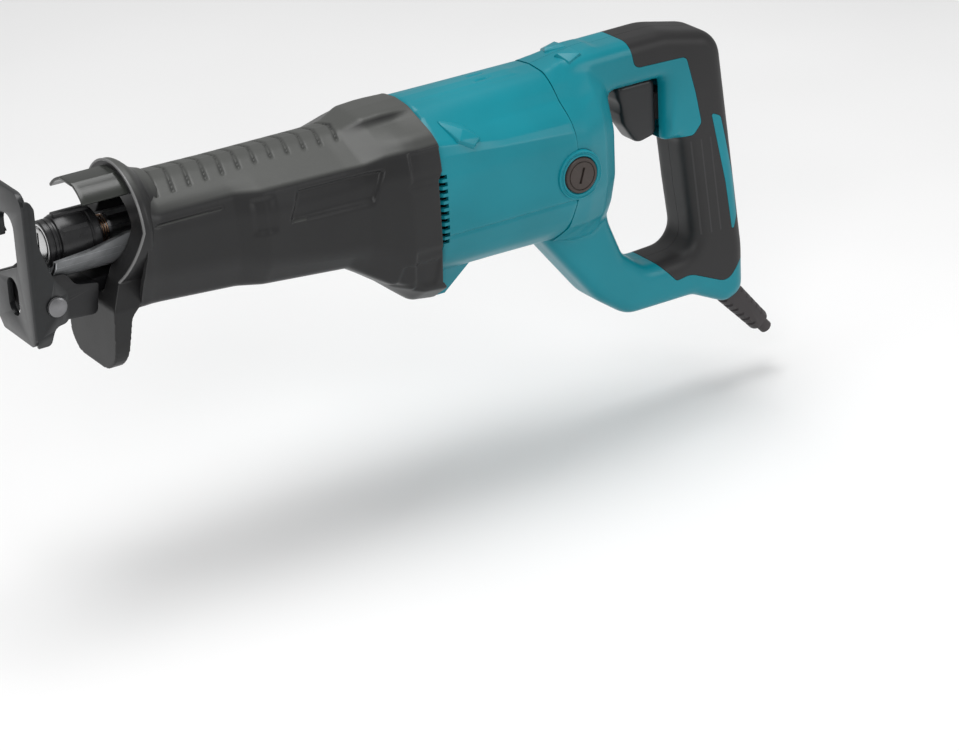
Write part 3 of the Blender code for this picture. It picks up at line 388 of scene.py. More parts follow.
def skin(name, stations, reaches, samples, soft, front, rear, pitch, relief):
    """A moulded tube: rings between two end curves, with relief added along the normal."""
    xs, table = section_table(stations, reaches, samples, soft)
    half = table.shape[1]
    middle = len(xs) // 2
    columns = []
    for j in range(half):
        z = table[middle, j, 1]
        columns.append((front(z), rear(z)))
    rows = int((columns[0][1] - columns[0][0]) / pitch)
    grid = np.zeros((rows + 1, half, 3))
    for j, (x0, x1) in enumerate(columns):
        x = np.linspace(x0, x1, rows + 1)
        grid[:, j, 0] = x
        grid[:, j, 1] = np.interp(x, xs, table[:, j, 0])
        grid[:, j, 2] = np.interp(x, xs, table[:, j, 1])
    along = np.gradient(grid, axis=0)
    around = np.gradient(grid, axis=1)
    normal = np.cross(around, along)
    normal /= np.maximum(1e-9, np.linalg.norm(normal, axis=2, keepdims=True))
    normal[:, 0, 1] = 0
    normal[:, -1, 1] = 0
    outward = normal[rows // 2, half // 4]
    if outward[1] < 0:
        normal = -normal
    height = relief(grid[:, :, 0], grid[:, :, 1], grid[:, :, 2])
    grid = grid + normal * height[:, :, None]
    bm = bmesh.new()
    order = [(j, 1) for j in range(half)] + [(j, -1) for j in range(half - 2, 0, -1)]
    rings = []
    for i in range(rows + 1):
        rings.append([bm.verts.new((grid[i, j, 0], grid[i, j, 1] * s, grid[i, j, 2])) for j, s in order])
    for ring, following in zip(rings, rings[1:]):
        for i in range(len(order)):
            k = (i + 1) % len(order)
            bm.faces.new((ring[i], ring[k], following[k], following[i]))
    return add(name, bm)


def step(value, low, high):
    t = np.clip((value - low) / (high - low), 0, 1)
    return t * t * (3 - 2 * t)


def band(value, low, high, edge):
    return step(value, low - edge, low + edge) * (1 - step(value, high - edge, high + edge))


def groove(distance, width):
    return np.exp(-((distance / width) ** 2))


def walled(made, thickness):
    wall = made.modifiers.new("wall", "SOLIDIFY")
    wall.thickness = thickness * MM
    wall.offset = -1.0
    wall.use_even_offset = False
    return bake(made)


# ---------------- materials


def nodes_of(name):
    material = bpy.data.materials.new(name)
    material.use_nodes = True
    tree = material.node_tree
    return material, tree, tree.nodes["Principled BSDF"]


def link(tree, a, b):
    tree.links.new(a, b)


def noise(tree, scale, detail=3, stretch=None):
    place = tree.nodes.new("ShaderNodeTexCoord")
    cloud = tree.nodes.new("ShaderNodeTexNoise")
    cloud.inputs["Scale"].default_value = scale
    cloud.inputs["Detail"].default_value = detail
    if stretch:
        mapping = tree.nodes.new("ShaderNodeMapping")
        mapping.inputs["Scale"].default_value = stretch
        link(tree, place.outputs["Object"], mapping.inputs["Vector"])
        link(tree, mapping.outputs["Vector"], cloud.inputs["Vector"])
    else:
        link(tree, place.outputs["Object"], cloud.inputs["Vector"])
    return cloud


def ramp(tree, source, stops):
    made = tree.nodes.new("ShaderNodeValToRGB")
    made.color_ramp.elements[0].position = stops[0][0]
    made.color_ramp.elements[0].color = (*stops[0][1], 1)
    made.color_ramp.elements[1].position = stops[1][0]
    made.color_ramp.elements[1].color = (*stops[1][1], 1)
    link(tree, source, made.inputs["Fac"])
    return made


def spread(tree, source, low, high):
    made = tree.nodes.new("ShaderNodeMapRange")
    made.inputs["To Min"].default_value = low
    made.inputs["To Max"].default_value = high
    link(tree, source, made.inputs["Value"])
    return made.outputs["Result"]


def blended(tree, factor, base, over):
    """A colour socket with a second colour laid over it by a factor."""
    mix = tree.nodes.new("ShaderNodeMix")
    mix.data_type = "RGBA"
    mix.inputs["B"].default_value = (*over, 1)
    link(tree, factor, mix.inputs["Factor"])
    link(tree, base, mix.inputs["A"])
    return mix.outputs["Result"]


def edge_wear_and_highlight(tree, colour_socket, shader, lighter, amount):
    """Paler edges from the surface's pointiness: partly real polish and wear, partly a painted highlight
    along the edges.
    """
    geometry = tree.nodes.new("ShaderNodeNewGeometry")
    mask = ramp(tree, geometry.outputs["Pointiness"], [(0.52, (0, 0, 0)), (0.60, (amount, amount, amount))])
    mixed = blended(tree, mask.outputs["Color"], colour_socket, lighter)
    link(tree, mixed, shader.inputs["Base Color"])


def bump(tree, shader, height, strength, distance):
    made = tree.nodes.new("ShaderNodeBump")
    made.inputs["Strength"].default_value = strength
    made.inputs["Distance"].default_value = distance
    link(tree, height, made.inputs["Height"])
    link(tree, made.outputs["Normal"], shader.inputs["Normal"])


def painted_top_light(tree, colour_socket, top_light_colour):
    """Faces turned upwards are paler: a painted top light and sheen."""
    geometry = tree.nodes.new("ShaderNodeNewGeometry")
    split = tree.nodes.new("ShaderNodeSeparateXYZ")
    link(tree, geometry.outputs["Normal"], split.inputs["Vector"])
    mask = ramp(tree, split.outputs["Z"], [(0.55, (0, 0, 0)), (0.92, (1, 1, 1))])
    return blended(tree, mask.outputs["Color"], colour_socket, top_light_colour)


def plastic(name, colour, rough, grain=900, depth=0.00004, wear_and_highlight=0.25, coat=0, top_light_colour=None):
    """Moulded plastic: slow colour drift, fine spark-eroded grain, faintly paler edges that are partly
    polish and partly a painted highlight.
    """
    material, tree, shader = nodes_of(name)
    drift = noise(tree, 14, 4)
    darker = tuple(c * 0.88 for c in colour)
    lighter = tuple(min(1, c * 1.12 + 0.002) for c in colour)
    tone = ramp(tree, drift.outputs["Fac"], [(0.3, darker), (0.7, lighter)])
    # upward faces get a painted top light when a top light colour is given
    body_colour = painted_top_light(tree, tone.outputs["Color"], top_light_colour) if top_light_colour else tone.outputs["Color"]
    # edges turn paler: partly wear, partly a painted highlight
    edge_wear_and_highlight(tree, body_colour, shader, tuple(min(1, c * 1.7 + 0.02) for c in colour), wear_and_highlight)
    grains = noise(tree, grain, 2)
    bump(tree, shader, grains.outputs["Fac"], 0.5, depth)
    patches = noise(tree, 60, 3)
    link(tree, spread(tree, patches.outputs["Fac"], rough - 0.05, rough + 0.06), shader.inputs["Roughness"])
    shader.inputs["Specular IOR Level"].default_value = 0.3
    shader.inputs["Coat Weight"].default_value = coat
    shader.inputs["Coat Roughness"].default_value = 0.25
    material.diffuse_color = (*colour, 1)
    return material


def grooved_grip(name, colour, rough):
    """Soft overmould with fine lines running down the middle of the grip."""
    material = plastic(name, colour, rough, 1400, 0.00006, 0.2)
    tree = material.node_tree
    shader = tree.nodes["Principled BSDF"]
    place = tree.nodes.new("ShaderNodeTexCoord")
    split = tree.nodes.new("ShaderNodeSeparateXYZ")
    link(tree, place.outputs["Object"], split.inputs["Vector"])

    def maths(operation, a, b=None):
        made = tree.nodes.new("ShaderNodeMath")
        made.operation = operation
        for k, value in enumerate((a, b)):
            if value is None:
                continue
            if isinstance(value, (int, float)):
                made.inputs[k].default_value = value
            else:
                link(tree, value, made.inputs[k])
        return made.outputs[0]

    # distance behind the grip's leaning centre line, then a line every 6.5 mm
    lean = maths("ADD", split.outputs["X"], maths("MULTIPLY", split.outputs["Z"], 0.105))
    across = maths("DIVIDE", maths("SUBTRACT", lean, 0.3615), 0.0065)
    saw = maths("ABSOLUTE", maths("SUBTRACT", maths("FRACT", across), 0.5))
    line = maths("LESS_THAN", saw, 0.075)
    inside = maths("MULTIPLY", maths("GREATER_THAN", across, -1), maths("LESS_THAN", across, 3))
    tall = maths("MULTIPLY", maths("LESS_THAN", split.outputs["Z"], -0.036),
                 maths("GREATER_THAN", split.outputs["Z"], -0.094))
    mask = maths("MULTIPLY", maths("MULTIPLY", line, inside), tall)
    base = shader.inputs["Base Color"].links[0].from_socket
    mixed = blended(tree, maths("MULTIPLY", mask, 0.55), base, [c * 1.9 + 0.01 for c in colour])
    link(tree, mixed, shader.inputs["Base Color"])
    return material


def metal(name, colour, rough, stretch=(1, 1, 1), scale=400, wear_and_highlight=0.3, metallic=1):
    """Machined or coated metal with fine streaks along one direction."""
    material, tree, shader = nodes_of(name)
    streaks = noise(tree, scale, 3, stretch)
    tone = ramp(tree, streaks.outputs["Fac"],
                [(0.3, tuple(c * 0.85 for c in colour)), (0.7, tuple(min(1, c * 1.1) for c in colour))])
    # edges turn paler: partly wear, partly a painted highlight
    edge_wear_and_highlight(tree, tone.outputs["Color"], shader, tuple(min(1, c * 1.5 + 0.05) for c in colour), wear_and_highlight)
    bump(tree, shader, streaks.outputs["Fac"], 0.25, 0.00003)
    link(tree, spread(tree, streaks.outputs["Fac"], rough - 0.06, rough + 0.08), shader.inputs["Roughness"])
    shader.inputs["Metallic"].default_value = metallic
    material.diffuse_color = (*colour, 1)
    return material


TEAL = (0.001, 0.195, 0.245)
PAINT = {
    "teal": plastic("teal_plastic", TEAL, 0.34, 700, 0.00003, 0.12),
    # the boot's upward faces are painted paler: a painted top light
    "boot": plastic("boot_rubber", (0.015, 0.015, 0.0155), 0.38, 600, 0.00005, 0.5,
                    top_light_colour=(0.065, 0.067, 0.063)),
    # pale grey rim colour: a painted highlight along the mouth's front edge
    "rim": plastic("rim_highlight_paint", (0.13, 0.13, 0.13), 0.25, 600, 0.00002, 0.6, 0.4),
    "hood": plastic("smoked_hood", (0.022, 0.024, 0.021), 0.25, 300, 0.00001, 0.5, 0.3),
    "nose": metal("nose_casting", (0.15, 0.155, 0.16), 0.36, (1, 1, 1), 220, 0.35, 0.25),
    "grip": grooved_grip("grip_rubber", (0.019, 0.0185, 0.019), 0.45),
    "trigger": plastic("trigger_plastic", (0.024, 0.024, 0.025), 0.30, 900, 0.00002, 0.3),
    "cap": plastic("cap_plastic", (0.042, 0.032, 0.028), 0.42, 900, 0.00003, 0.3),
    "cord": plastic("cord_rubber", (0.045, 0.040, 0.041), 0.55, 900, 0.00005, 0.2),
    "seal": plastic("seal_rubber", (0.02, 0.02, 0.02), 0.6),
    "dark": plastic("dark_plastic", (0.015, 0.015, 0.016), 0.5),
    "fan": plastic("fan_plastic", (0.5, 0.5, 0.47), 0.5),
    "carbon": plastic("brush_carbon", (0.02, 0.02, 0.02), 0.6),
    "shoe": metal("shoe_black", (0.012, 0.013, 0.014), 0.30, (1, 1, 1), 260, 0.5, 0.3),
    "holder": metal("holder_black", (0.007, 0.007, 0.008), 0.34, (1, 1, 1), 260, 0.25, 0.2),
    "clamp": metal("clamp_black", (0.015, 0.015, 0.016), 0.28, (1, 1, 1), 300, 0.4, 0.3),
    "cast": metal("cast_aluminium", (0.36, 0.37, 0.38), 0.42, (1, 1, 1), 220, 0.3, 0.85),
    "rod": metal("ground_steel", (0.50, 0.50, 0.51), 0.22, (8, 1, 1), 300, 0.2),
    "bright": metal("bright_steel", (0.62, 0.62, 0.62), 0.20, (1, 6, 6), 260, 0.2),
    "pin": metal("pin_steel", (0.16, 0.16, 0.165), 0.33, (1, 1, 1), 320, 0.4, 0.8),
    "gear": metal("gear_steel", (0.42, 0.42, 0.43), 0.33),
    "bearing": metal("bearing_steel", (0.50, 0.50, 0.51), 0.25),
    "lamination": metal("lamination_steel", (0.28, 0.27, 0.26), 0.45, (40, 1, 1), 200),
    "copper": metal("copper_wire", (0.30, 0.18, 0.11), 0.30, (1, 1, 1), 500),
    "brass": metal("brass_pressing", (0.50, 0.36, 0.14), 0.32),
    "screw": metal("zinc_screw", (0.45, 0.45, 0.46), 0.30),
}


def finish_piece(made, paint, body, slot, *replaced, angle=35):
    smooth(made, angle)
    made.data.materials.clear()
    made.data.materials.append(PAINT[paint])
    if replaced:
        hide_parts(*replaced)
    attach(made, body)


# ---------------- boot


def boot_stations():
    return [
        (0.5, [(0, 33.6), (10, 32), (19, 28), (27, 20), (30.6, 14), (32.3, 2), (32.5, -18),
               (24.5, -38), (12, -41), (0, -41)]),
        (3.5, [(0, 29.5), (9, 28), (17.5, 24), (26, 17), (29.6, 12), (31.6, 2), (31.9, -19),
               (24, -38), (12, -41), (0, -41)]),
        (9, [(0, 23.8), (9, 22.6), (18, 18.8), (25, 14.6), (29, 10.5), (31, 2), (31.5, -20), (24, -38.2),
             (12, -41.3), (0, -41.3)]),
        (52, [(0, 23), (8, 22.3), (15.5, 19.2), (24, 15), (29.3, 11), (31.6, 1), (32.5, -24),
              (25, -41), (12, -44), (0, -44)]),
        (66, [(0, 23), (8, 22.3), (15, 19.4), (25, 15), (33, 10.5), (36.3, 0), (37.4, -28), (28, -43),
              (13, -45.6), (0, -45.6)]),
        (116, [(0, 22.9), (8, 22.3), (14.6, 19.7), (25, 15), (34.5, 10.5), (37.6, 0), (38.5, -35),
               (29, -47), (14, -50), (0, -50)]),
        (126, [(0, 23.2), (9, 22.8), (14.6, 20.4), (25, 15.5), (35.5, 10.5), (38.2, 0), (38.9, -36),
               (31.5, -53), (15, -56), (0, -56)]),
        (138, [(0, 28), (13.5, 27.4), (17, 23.2), (30, 17), (37.5, 12.5), (40.3, 2), (40.4, -40),
               (35.5, -60), (18, -64), (0, -64)]),
        (149, [(0, 28.4), (14, 28), (17, 23.4), (33, 18), (40, 13), (43, 2), (43.5, -43.5), (41, -63),
               (21, -73), (0, -73)]),
        (156, [(0, 28.5), (14, 28), (17, 23.6), (34, 18.3), (41.2, 12.5), (43.2, 2), (43.6, -44),
               (41.8, -66), (23, -78.5), (0, -78.5)]),
        (168.6, [(0, 29), (12.5, 27.6), (18, 25.2), (34.5, 18.5), (41.4, 13), (43.3, 2), (43.6, -45),
                 (42, -67), (24, -80), (0, -80)]),
    ]


def boot_relief(x, y, z):
    wide = np.interp(x, [0, 20, 45, 80, 125], [20.5, 19.5, 17, 14, 14.8])
    top = step(z, 10, 14) * (1 - step(np.abs(y), wide, wide + 1.2))
    height = np.zeros_like(x)
    for k in range(RIBS):
        line = FIRST_RIB_X + RIB_PITCH * k
        height -= 1.1 * groove(x - line - 0.25 * (15 - np.abs(y)), 0.85) * top * (x < 128)
    side = step(np.abs(y), 27, 29.5)
    # thin slot along the front of each side
    height -= 0.9 * groove(z - 6.3, 0.7) * band(x, 6, 44.5, 0.8) * side
    # slanted four-sided recess on the wide part of each side
    lean = x - 0.42 * z
    height -= 2.0 * band(lean, 83.5, 132.5, 1.6) * band(z, -8.6 - 0.015 * (x - 80), 6.5, 0.8) * side
    # smooth pocket where the body widens
    height -= 1.4 * band(x, 60, 71, 2.5) * band(z, -11, 7, 1.5) * side
    # raised pad on each side of the collar
    height -= 1.1 * (1 - band(z, -43, -5, 0.9)) * band(x, 150, 172, 0.8) * band(z, -66, 12, 0.9) * side
    # flat facet low on the collar
    height -= 1.2 * band(x - 0.25 * (z + 55), 142, 164, 1.2) * band(z, -64, -50, 1.4) * side
    return height


def boot_rear(z):
    return float(np.interp(z, [-90, -67, -65.5, -44.5, -42.5, -5.5, -3.6, 12, 31, 36],
                           [165.5, 166.2, 167, 168.8, 166.2, 165.6, 168.6, 168.2, 167, 166.8]))


def boot_front(z):
    return float(np.interp(z, [-45, -34, -20, 0, 34], [-4, -4, -1.5, 0.5, 1.5]))


def mouth_cutters(name, x0, x1):
    hole = drum(name, (x0, 0, 0), (x1, 0, 0), MOUTH_R, sides=96)
    slot = box(name + "_slot", (x0, -9.9, -30), (x1, 9.9, -10))
    return [hole, slot]


def mouth_front_x(z):
    """The mouth's face is upright above the rod and leans forward into the guard below it."""
    lean = min(max(5.0 - z, 0), 40)
    return -2.0 - 0.44 * lean - 0.06 * max(0, -35.0 - z)


def guard_back_x(z):
    if z > -24:
        return 6.0
    if z > -41:
        return 6.0 + (z + 24) * 0.93
    return -9.8 + (z + 41) * 0.17


def lean_cutter(name, edge, far):
    """Everything beyond an edge given as X for each height."""
    line = [(edge(60 - 2 * k), 60 - 2 * k) for k in range(71)]
    return plate(name, line + [(far, -80), (far, 60)], "Y", 0, 60)


def front_ring():
    """The flared rim round the mouth."""
    profile = [(0.001, -24), (32.9, -24), (32.9, 1.6), (31.9, 3.4), (29.6, 6), (27.2, 8.2),
               (25.4, 11.5), (24, 16), (0.001, 16)]
    return lathe("boot_ring", profile, (0, 0, 1.5), (1, 0, 0), 120)


def hand_guard():
    """The broad guard hanging below the mouth."""
    half = [(22, -20, 0), (26.5, -36, 10), (26.3, -70.5, 15)]
    corners = half + [(-y, z, r) for y, z, r in reversed(half)]
    guard = plate("boot_guard", rounded(corners, 8), "X", -8, 16)
    cut(guard, lean_cutter("back_lean", guard_back_x, 60))
    return guard


def boot():
    reaches = [0, 3.5, 2.5, 3, 2.5, 3, 4, 4, 5, 0]
    samples = [10, 6, 10, 6, 9, 18, 14, 8, 8]
    barrel = skin("boot_barrel", boot_stations(), reaches, samples, 1.6, boot_front, boot_rear, 0.7,
                  boot_relief)
    for vertex in barrel.data.vertices:
        vertex.co.y = min(max(vertex.co.y, -WIDEST * MM), WIDEST * MM)
    walled(barrel, BOOT_SKIN)
    finish_piece(barrel, "boot", "saw", "boot_rubber", "insulation_boot", angle=50)
    front = front_ring()
    join(front, hand_guard())
    cut(front, lean_cutter("front_lean", mouth_front_x, -50))
    cut(front, *mouth_cutters("mouth", -35, 20))
    soften(front, 0.55, 3)
    finish_piece(front, "boot", "saw", "boot_rubber", "insulation_boot", angle=60)
    front.name = "boot_mouth"
    # a thin pale bead along the mouth's front edge carries a painted highlight of that edge
    points = []
    for k in range(90):
        angle = math.radians(-46 + 272 * k / 89)
        z = 1.5 + BEAD_R * math.sin(angle)
        points.append((mouth_front_x(z) + 0.35, BEAD_R * math.cos(angle), z))
    bead = wire("rim_highlight_bead", points, 0.75, 6)
    finish_piece(bead, "rim", "saw", "boot_rubber", "insulation_boot", angle=60)


def nose_hood():
    rows = [
        (-18.5, 22.3, -27.8), (-16, 24.7, -27.6), (-13, 26.8, -27.4), (-10, 28.2, -27.2), (-7, 29.2, -27),
        (-6.2, 29.8, -27.6), (0, 30.1, -27.8),
    ]
    rows = rows + [(-y, z, x) for y, z, x in reversed(rows[:-1])]
    bm = bmesh.new()
    grid = []
    back = -1.6
    for y, z, x in rows:
        grid.append([bm.verts.new((x + (back - x) * k / 10, y, z)) for k in range(11)])
    for i in range(len(rows) - 1):
        for k in range(10):
            bm.faces.new((grid[i][k], grid[i + 1][k], grid[i + 1][k + 1], grid[i][k + 1]))
    hood = add("hood_shell", bm)
    wall = hood.modifiers.new("wall", "SOLIDIFY")
    wall.thickness = 1.7 * MM
    wall.offset = 0.0
    bake(hood)
    bevel(hood, 0.5, 3, 40)
    finish_piece(hood, "hood", "saw", "hood_smoke", "nose_hood", angle=25)


# ---------------- nose, clamp and rod


def gearbox_nose():
    """Cast cradle below the rod, with the slide rail of the shoe's holder."""
    profile = [(18.4, 66), (18.6, 65), (18.6, 0.8), (17.9, 0), (16.3, 0), (15.6, 0.8), (15.6, 66)]
    cradle = lathe("gearbox_nose", profile, (-45, 0, 0), (1, 0, 0), 96)
    lip = [(-60, -5.5), (-45, -4.6), (-25, -2.6), (-5, 1.6), (60, 1.6), (60, 40), (-60, 40)]
    cut(cradle, plate("cradle_split", lip, "Y", 0, 30))
    rail = box("slide_rail", (8.5, -13, -33), (21, 13, -16.5))
    join(cradle, rail)
    cut(cradle, box("slide_cut", (-60, -9.3, -29.3), (40, 9.3, -21.7)))
    bevel(cradle, 0.5, 2, 40)
    finish_piece(cradle, "nose", "saw", "cast_aluminium")


def coil(name, x0, x1, radius, turns, thick):
    count = int(turns * 36)
    points = []
    for k in range(count + 1):
        angle = 2 * math.pi * turns * k / count
        points.append((x0 + (x1 - x0) * k / count, radius * math.cos(angle), radius * math.sin(angle)))
    return wire(name, points, thick, 5)


def clamp():
    guide = lathe(
        "clamp_guide",
        [(0.001, -17), (8.4, -17), (8.4, -20), (9.4, -21), (9.4, -44.4), (8.9, -45), (7.6, -45.3),
         (0.001, -45.3)],
        (0, 0, 0), (1, 0, 0), 72,
    )
    cut(guide, box("blade_slot", (-60, -0.9, -6.5), (-20, 0.9, 6.5)))
    cut(guide, drum("pin_bore", (-30, -12, 0), (-30, 2.4, 0), 2))
    finish_piece(guide, "bright", "blade_drive", "guide_bright", "clamp_guide_sleeve", angle=30)
    ring = lathe("clamp_ring", [(9.7, -44.6), (9.7, -42.9), (10.9, -42.9), (11, -43.4), (11, -44.2),
        (10.6, -44.6)],
                 (0, 0, 0), (1, 0, 0), 72)
    finish_piece(ring, "bright", "blade_drive", "guide_bright", "retaining_ring")
    spring = coil("clamp_coils", -15.2, -9.4, 7, 4.5, 0.42)
    finish_piece(spring, "copper", "blade_drive", "spring_copper", "clamp_spring")


def turning_sleeve():
    """Black sleeve with ribs along it, a raised lug and a smaller grooved collar."""
    profile = [
        (9.8, -15.4), (12.2, -15.2), (13.2, -15.9), (13.4, -17), (13.4, -19.5), (12.9, -20),
            (12.9, -20.8),
        (13.4, -21.3), (13.4, -36), (12.9, -37.6), (11.9, -38.2), (11.8, -39), (12.3, -39.6),
            (12.3, -41),
        (11.9, -41.3), (11.9, -41.9), (12.3, -42.2), (12.2, -44.2), (11.7, -44.9), (11.3, -44.9),
            (11.3, -42.5), (9.8, -42.5),
    ]
    sleeve = lathe("turning_sleeve", profile, (0, 0, 0), (1, 0, 0), 96)
    ribs = []
    for k in range(9):
        if k == 2:
            continue
        rib = box("rib_%d" % k, (-36, -1.1, 12.6), (-22, 1.1, 13.5))
        rib.data.transform(Matrix.Rotation(math.radians(40 * k + 10), 4, "X"))
        ribs.append(rib)
    join(sleeve, *ribs)
    lug = box("lug", (-37, -2.5, 11.5), (-17, 2.5, 15))
    bevel(lug, 0.9, 3)
    join(sleeve, lug)
    finish_piece(sleeve, "clamp", "sleeve", "sleeve_black", "clamp_sleeve", angle=28)


# ---------------- shoe


def shoe():
    corners = [
        (-21, 36.5, 8), (21, 36.5, 8), (21, 3, 1), (8, 7, 2), (8, 22, 7.5), (-9, 22, 7.5), (-9, -5, 3),
        (21, -17.6, 2), (21, -41, 1.5), (16, -46, 2), (-21, -46, 5),
    ]
    face = plate("shoe_face", rounded(corners, 8), "X", -60.5, 1.5)
    slot = [(-6.3, -13.5, 6.1), (6.3, -13.5, 6.1), (6.3, -34, 6.1), (-6.3, -34, 6.1)]
    cut(face, plate("slot", rounded(slot, 10), "X", -60.5, 5))
    flange = [
        (-60.5, 33, 0), (-57, 32, 2), (-55, 28, 4), (-55, 9, 12), (-49, -10, 25), (-41.5, -20, 6),
        (-42, -36, 7), (-50, -37, 5), (-53.5, -46, 3), (-60.5, -46, 0),
    ]
    for side in (-1, 1):
        cheek = plate("cheek_%d" % (side + 2), rounded(flange, 6), "Y", side * 20, 1)
        if side > 0:
            cut(cheek, box("gap", (-70, 10, -16.5), (-30, 30, 4)))
        join(face, cheek)
    cut(face, drum("bore", (PIVOT[0], -30, PIVOT[1]), (PIVOT[0], 30, PIVOT[1]), BORE_R))
    bevel(face, 0.7, 3, 40)
    finish_piece(face, "shoe", "shoe_plate", "shoe_black", "shoe", angle=40)


def holder():
    corners = [
        (PIVOT[0] - 9.6, PIVOT[1] + 9.6, 9.6), (PIVOT[0] - 9.6, PIVOT[1] - 9.6, 9.6),
        (-24, -38, 3), (-22, -21.5, 1.5), (-34.5, -19.5, 6), (-40, -12, 4), (-48, -11.5, 5),
    ]
    block = plate("holder_block", rounded(corners, 8), "Y", 0, 16)
    join(block, box("slide_bar", (-25, -9, -29), (44, 9, -22)))
    cut(block, drum("cradle_room", (-80, 0, 0), (-20, 0, 0), 19.1, sides=96))
    cut(block, drum("bore", (PIVOT[0], -30, PIVOT[1]), (PIVOT[0], 30, PIVOT[1]), BORE_R))
    bevel(block, 0.8, 3, 40)
    finish_piece(block, "holder", "holder", "holder_black", "shoe_holder", angle=40)
    profile = [(0.001, -23.1), (4.2, -23.1), (5.1, -22.6), (5.4, -21.4), (4, -21.3), (4, 21.3),
               (5.4, 21.4), (5.1, 22.6),
               (4.2, 23.1), (0.001, 23.1)]
    pin = lathe("pivot_pin", profile, (PIVOT[0], 0, PIVOT[1]), (0, 1, 0), 48)
    finish_piece(pin, "pin", "holder", "pin_grey", "shoe_pivot_pin", angle=30)


# ---------------- motor housing


# upper half section at the seam, shared by the motor housing and the dome
SEAM_TOP = [
    (0, 28), (13.4, 26.6), (20.3, 21.2), (26, 13.2), (33.7, 6.8), (36.6, 3.7), (39.4, -1.2), (40.3, -5),
]


def motor_stations():
    low = [(40.8, -8), (40.8, -38), (39.7, -42), (35, -57), (22, -67.5), (0, -69)]
    deep = [(39, -8), (39, -38), (38, -42), (33, -54), (21, -62), (0, -63)]
    under = [(0, 24.4), (11.5, 23.6), (16, 19.9), (29.5, 14.6), (34.2, 10.8), (36, 9.5), (37.4, 4),
             (38.3, -3.8)]
    front = [(0, 27.4), (12.5, 26.3), (20, 22.9), (31.5, 16.2), (36.5, 13), (38.2, 11.2), (39.6, 5),
             (40.3, -3.8)]
    middle = [(0, 27.7), (13, 26.4), (20.3, 21.9), (27.8, 13.4), (35, 7.5), (37.3, 5.4), (39.4, 2),
              (40.4, -4.6)]
    last = [(40.6, -8), (40.6, -38), (39.5, -42), (34.6, -57.3), (22, -68.2), (0, -70)]
    return [(152, under + deep), (168.4, under + deep), (169.4, front + low), (210, middle + low), (256,
        SEAM_TOP + last)]


def seam_x(z):
    above = z + 26
    return 256.5 - (3.6 if above > 0 else 12.5) * (above / 56) ** 2


def motor_relief(x, y, z):
    side = step(np.abs(y), 20, 30)
    height = -0.45 * groove(x - np.vectorize(seam_x)(z), 0.8)
    # fine line along the lower crease and a raised upper roof panel
    height -= 0.8 * groove(z + 40.5, 0.8) * side * band(x, 172, 300, 1)
    height += 0.5 * band(np.abs(y), -1, 8, 0.8) * step(z, 16, 24) * band(x, 172, 240, 3)
    height -= 0.9 * band(x, 215, 225, 0.6) * groove(np.abs(y) - 4, 0.7) * step(z, 16, 24)
    return height


def slot_stack(name, count, size, x, top, pitch):
    """Cooling slots across the body, one below the other."""
    bm = bmesh.new()
    for k in range(count):
        slot = bmesh.ops.create_cube(bm, size=1)["verts"]
        bmesh.ops.scale(bm, vec=size, verts=slot)
        bmesh.ops.translate(bm, vec=(x, 0, top - pitch * k), verts=slot)
    return add(name, bm)


def diamond(name, side, quad, lift, tail):
    """A four-cornered faceted boss with a fin fading forwards into the surface."""
    points = [(x, side * y, z) for x, y, z in quad]
    middle = sum((Vector(p) for p in points), Vector()) / len(points)
    raised = []
    for point in points:
        spot = middle + (Vector(point) - middle) * 0.82
        raised.append(tuple(spot + Vector((lift[0], side * lift[1], lift[2]))))
    sunk = [(x, y * 0.9, z * 0.97) for x, y, z in points]
    fin = [(x, side * y, z) for x, y, z in tail]
    return hull(name, points + raised + sunk + fin)


def motor_housing():
    reaches = [0, 4, 4, 1.5, 1.2, 0.8, 0.8, 1, 2, 2.5, 2, 6, 6, 0]
    samples = [10, 6, 8, 7, 3, 5, 6, 3, 16, 3, 10, 9, 12]
    case = skin("motor_case", motor_stations(), reaches, samples, 0.5, lambda z: 153,
                lambda z: seam_x(z) - 0.15, 1.6, motor_relief)
    walled(case, CASE_SKIN)
    foot = [(0, -66), (21.3, -66), (25.5, -62.8), (22.5, -79.6), (0, -80.3)]
    heel = [(0, -66), (19, -66), (20, -65.8), (18, -68.6), (0, -69.8)]
    wedge = loft("case_foot", [(170, foot), (178, foot), (197, heel)])
    cut(case, slot_stack("vents", 10, (7.5, 100, 2.3), 168.8, -5.6, VENT_PITCH), messy=True)
    join(case, wedge)
    finish_piece(case, "teal", "saw", "housing_teal", "motor_housing", angle=32)
    quad = [(186.5, 31.8, 14.6), (196.6, 36.2, 8), (190.5, 38.6, 4.2), (181, 36.9, 9.6)]
    tail = [(176.5, 24, 20.6), (179, 30, 16), (190, 27, 16.6)]
    for side in (-1, 1):
        boss = diamond("case_boss_%d" % (side + 2), side, quad, (0.6, 2.4, 2.2), tail)
        bevel(boss, 0.6, 2, 15)
        finish_piece(boss, "teal", "saw", "housing_teal", "motor_housing", angle=18)
        profile = [
            (10.5, 34), (10.5, 41.6), (10.9, 42.1), (11.6, 42.1), (12, 41.5), (12.6, 41.5),
                (13.2, 42), (13.8, 41.6), (14.1, 40.6),
            (14.2, 34),
        ]
        ring = lathe("cap_ring_%d" % (side + 2), profile, (BRUSH[0], 0, BRUSH[1]), (0, side, 0), 96)
        finish_piece(ring, "teal", "saw", "housing_teal", "motor_housing", angle=30)


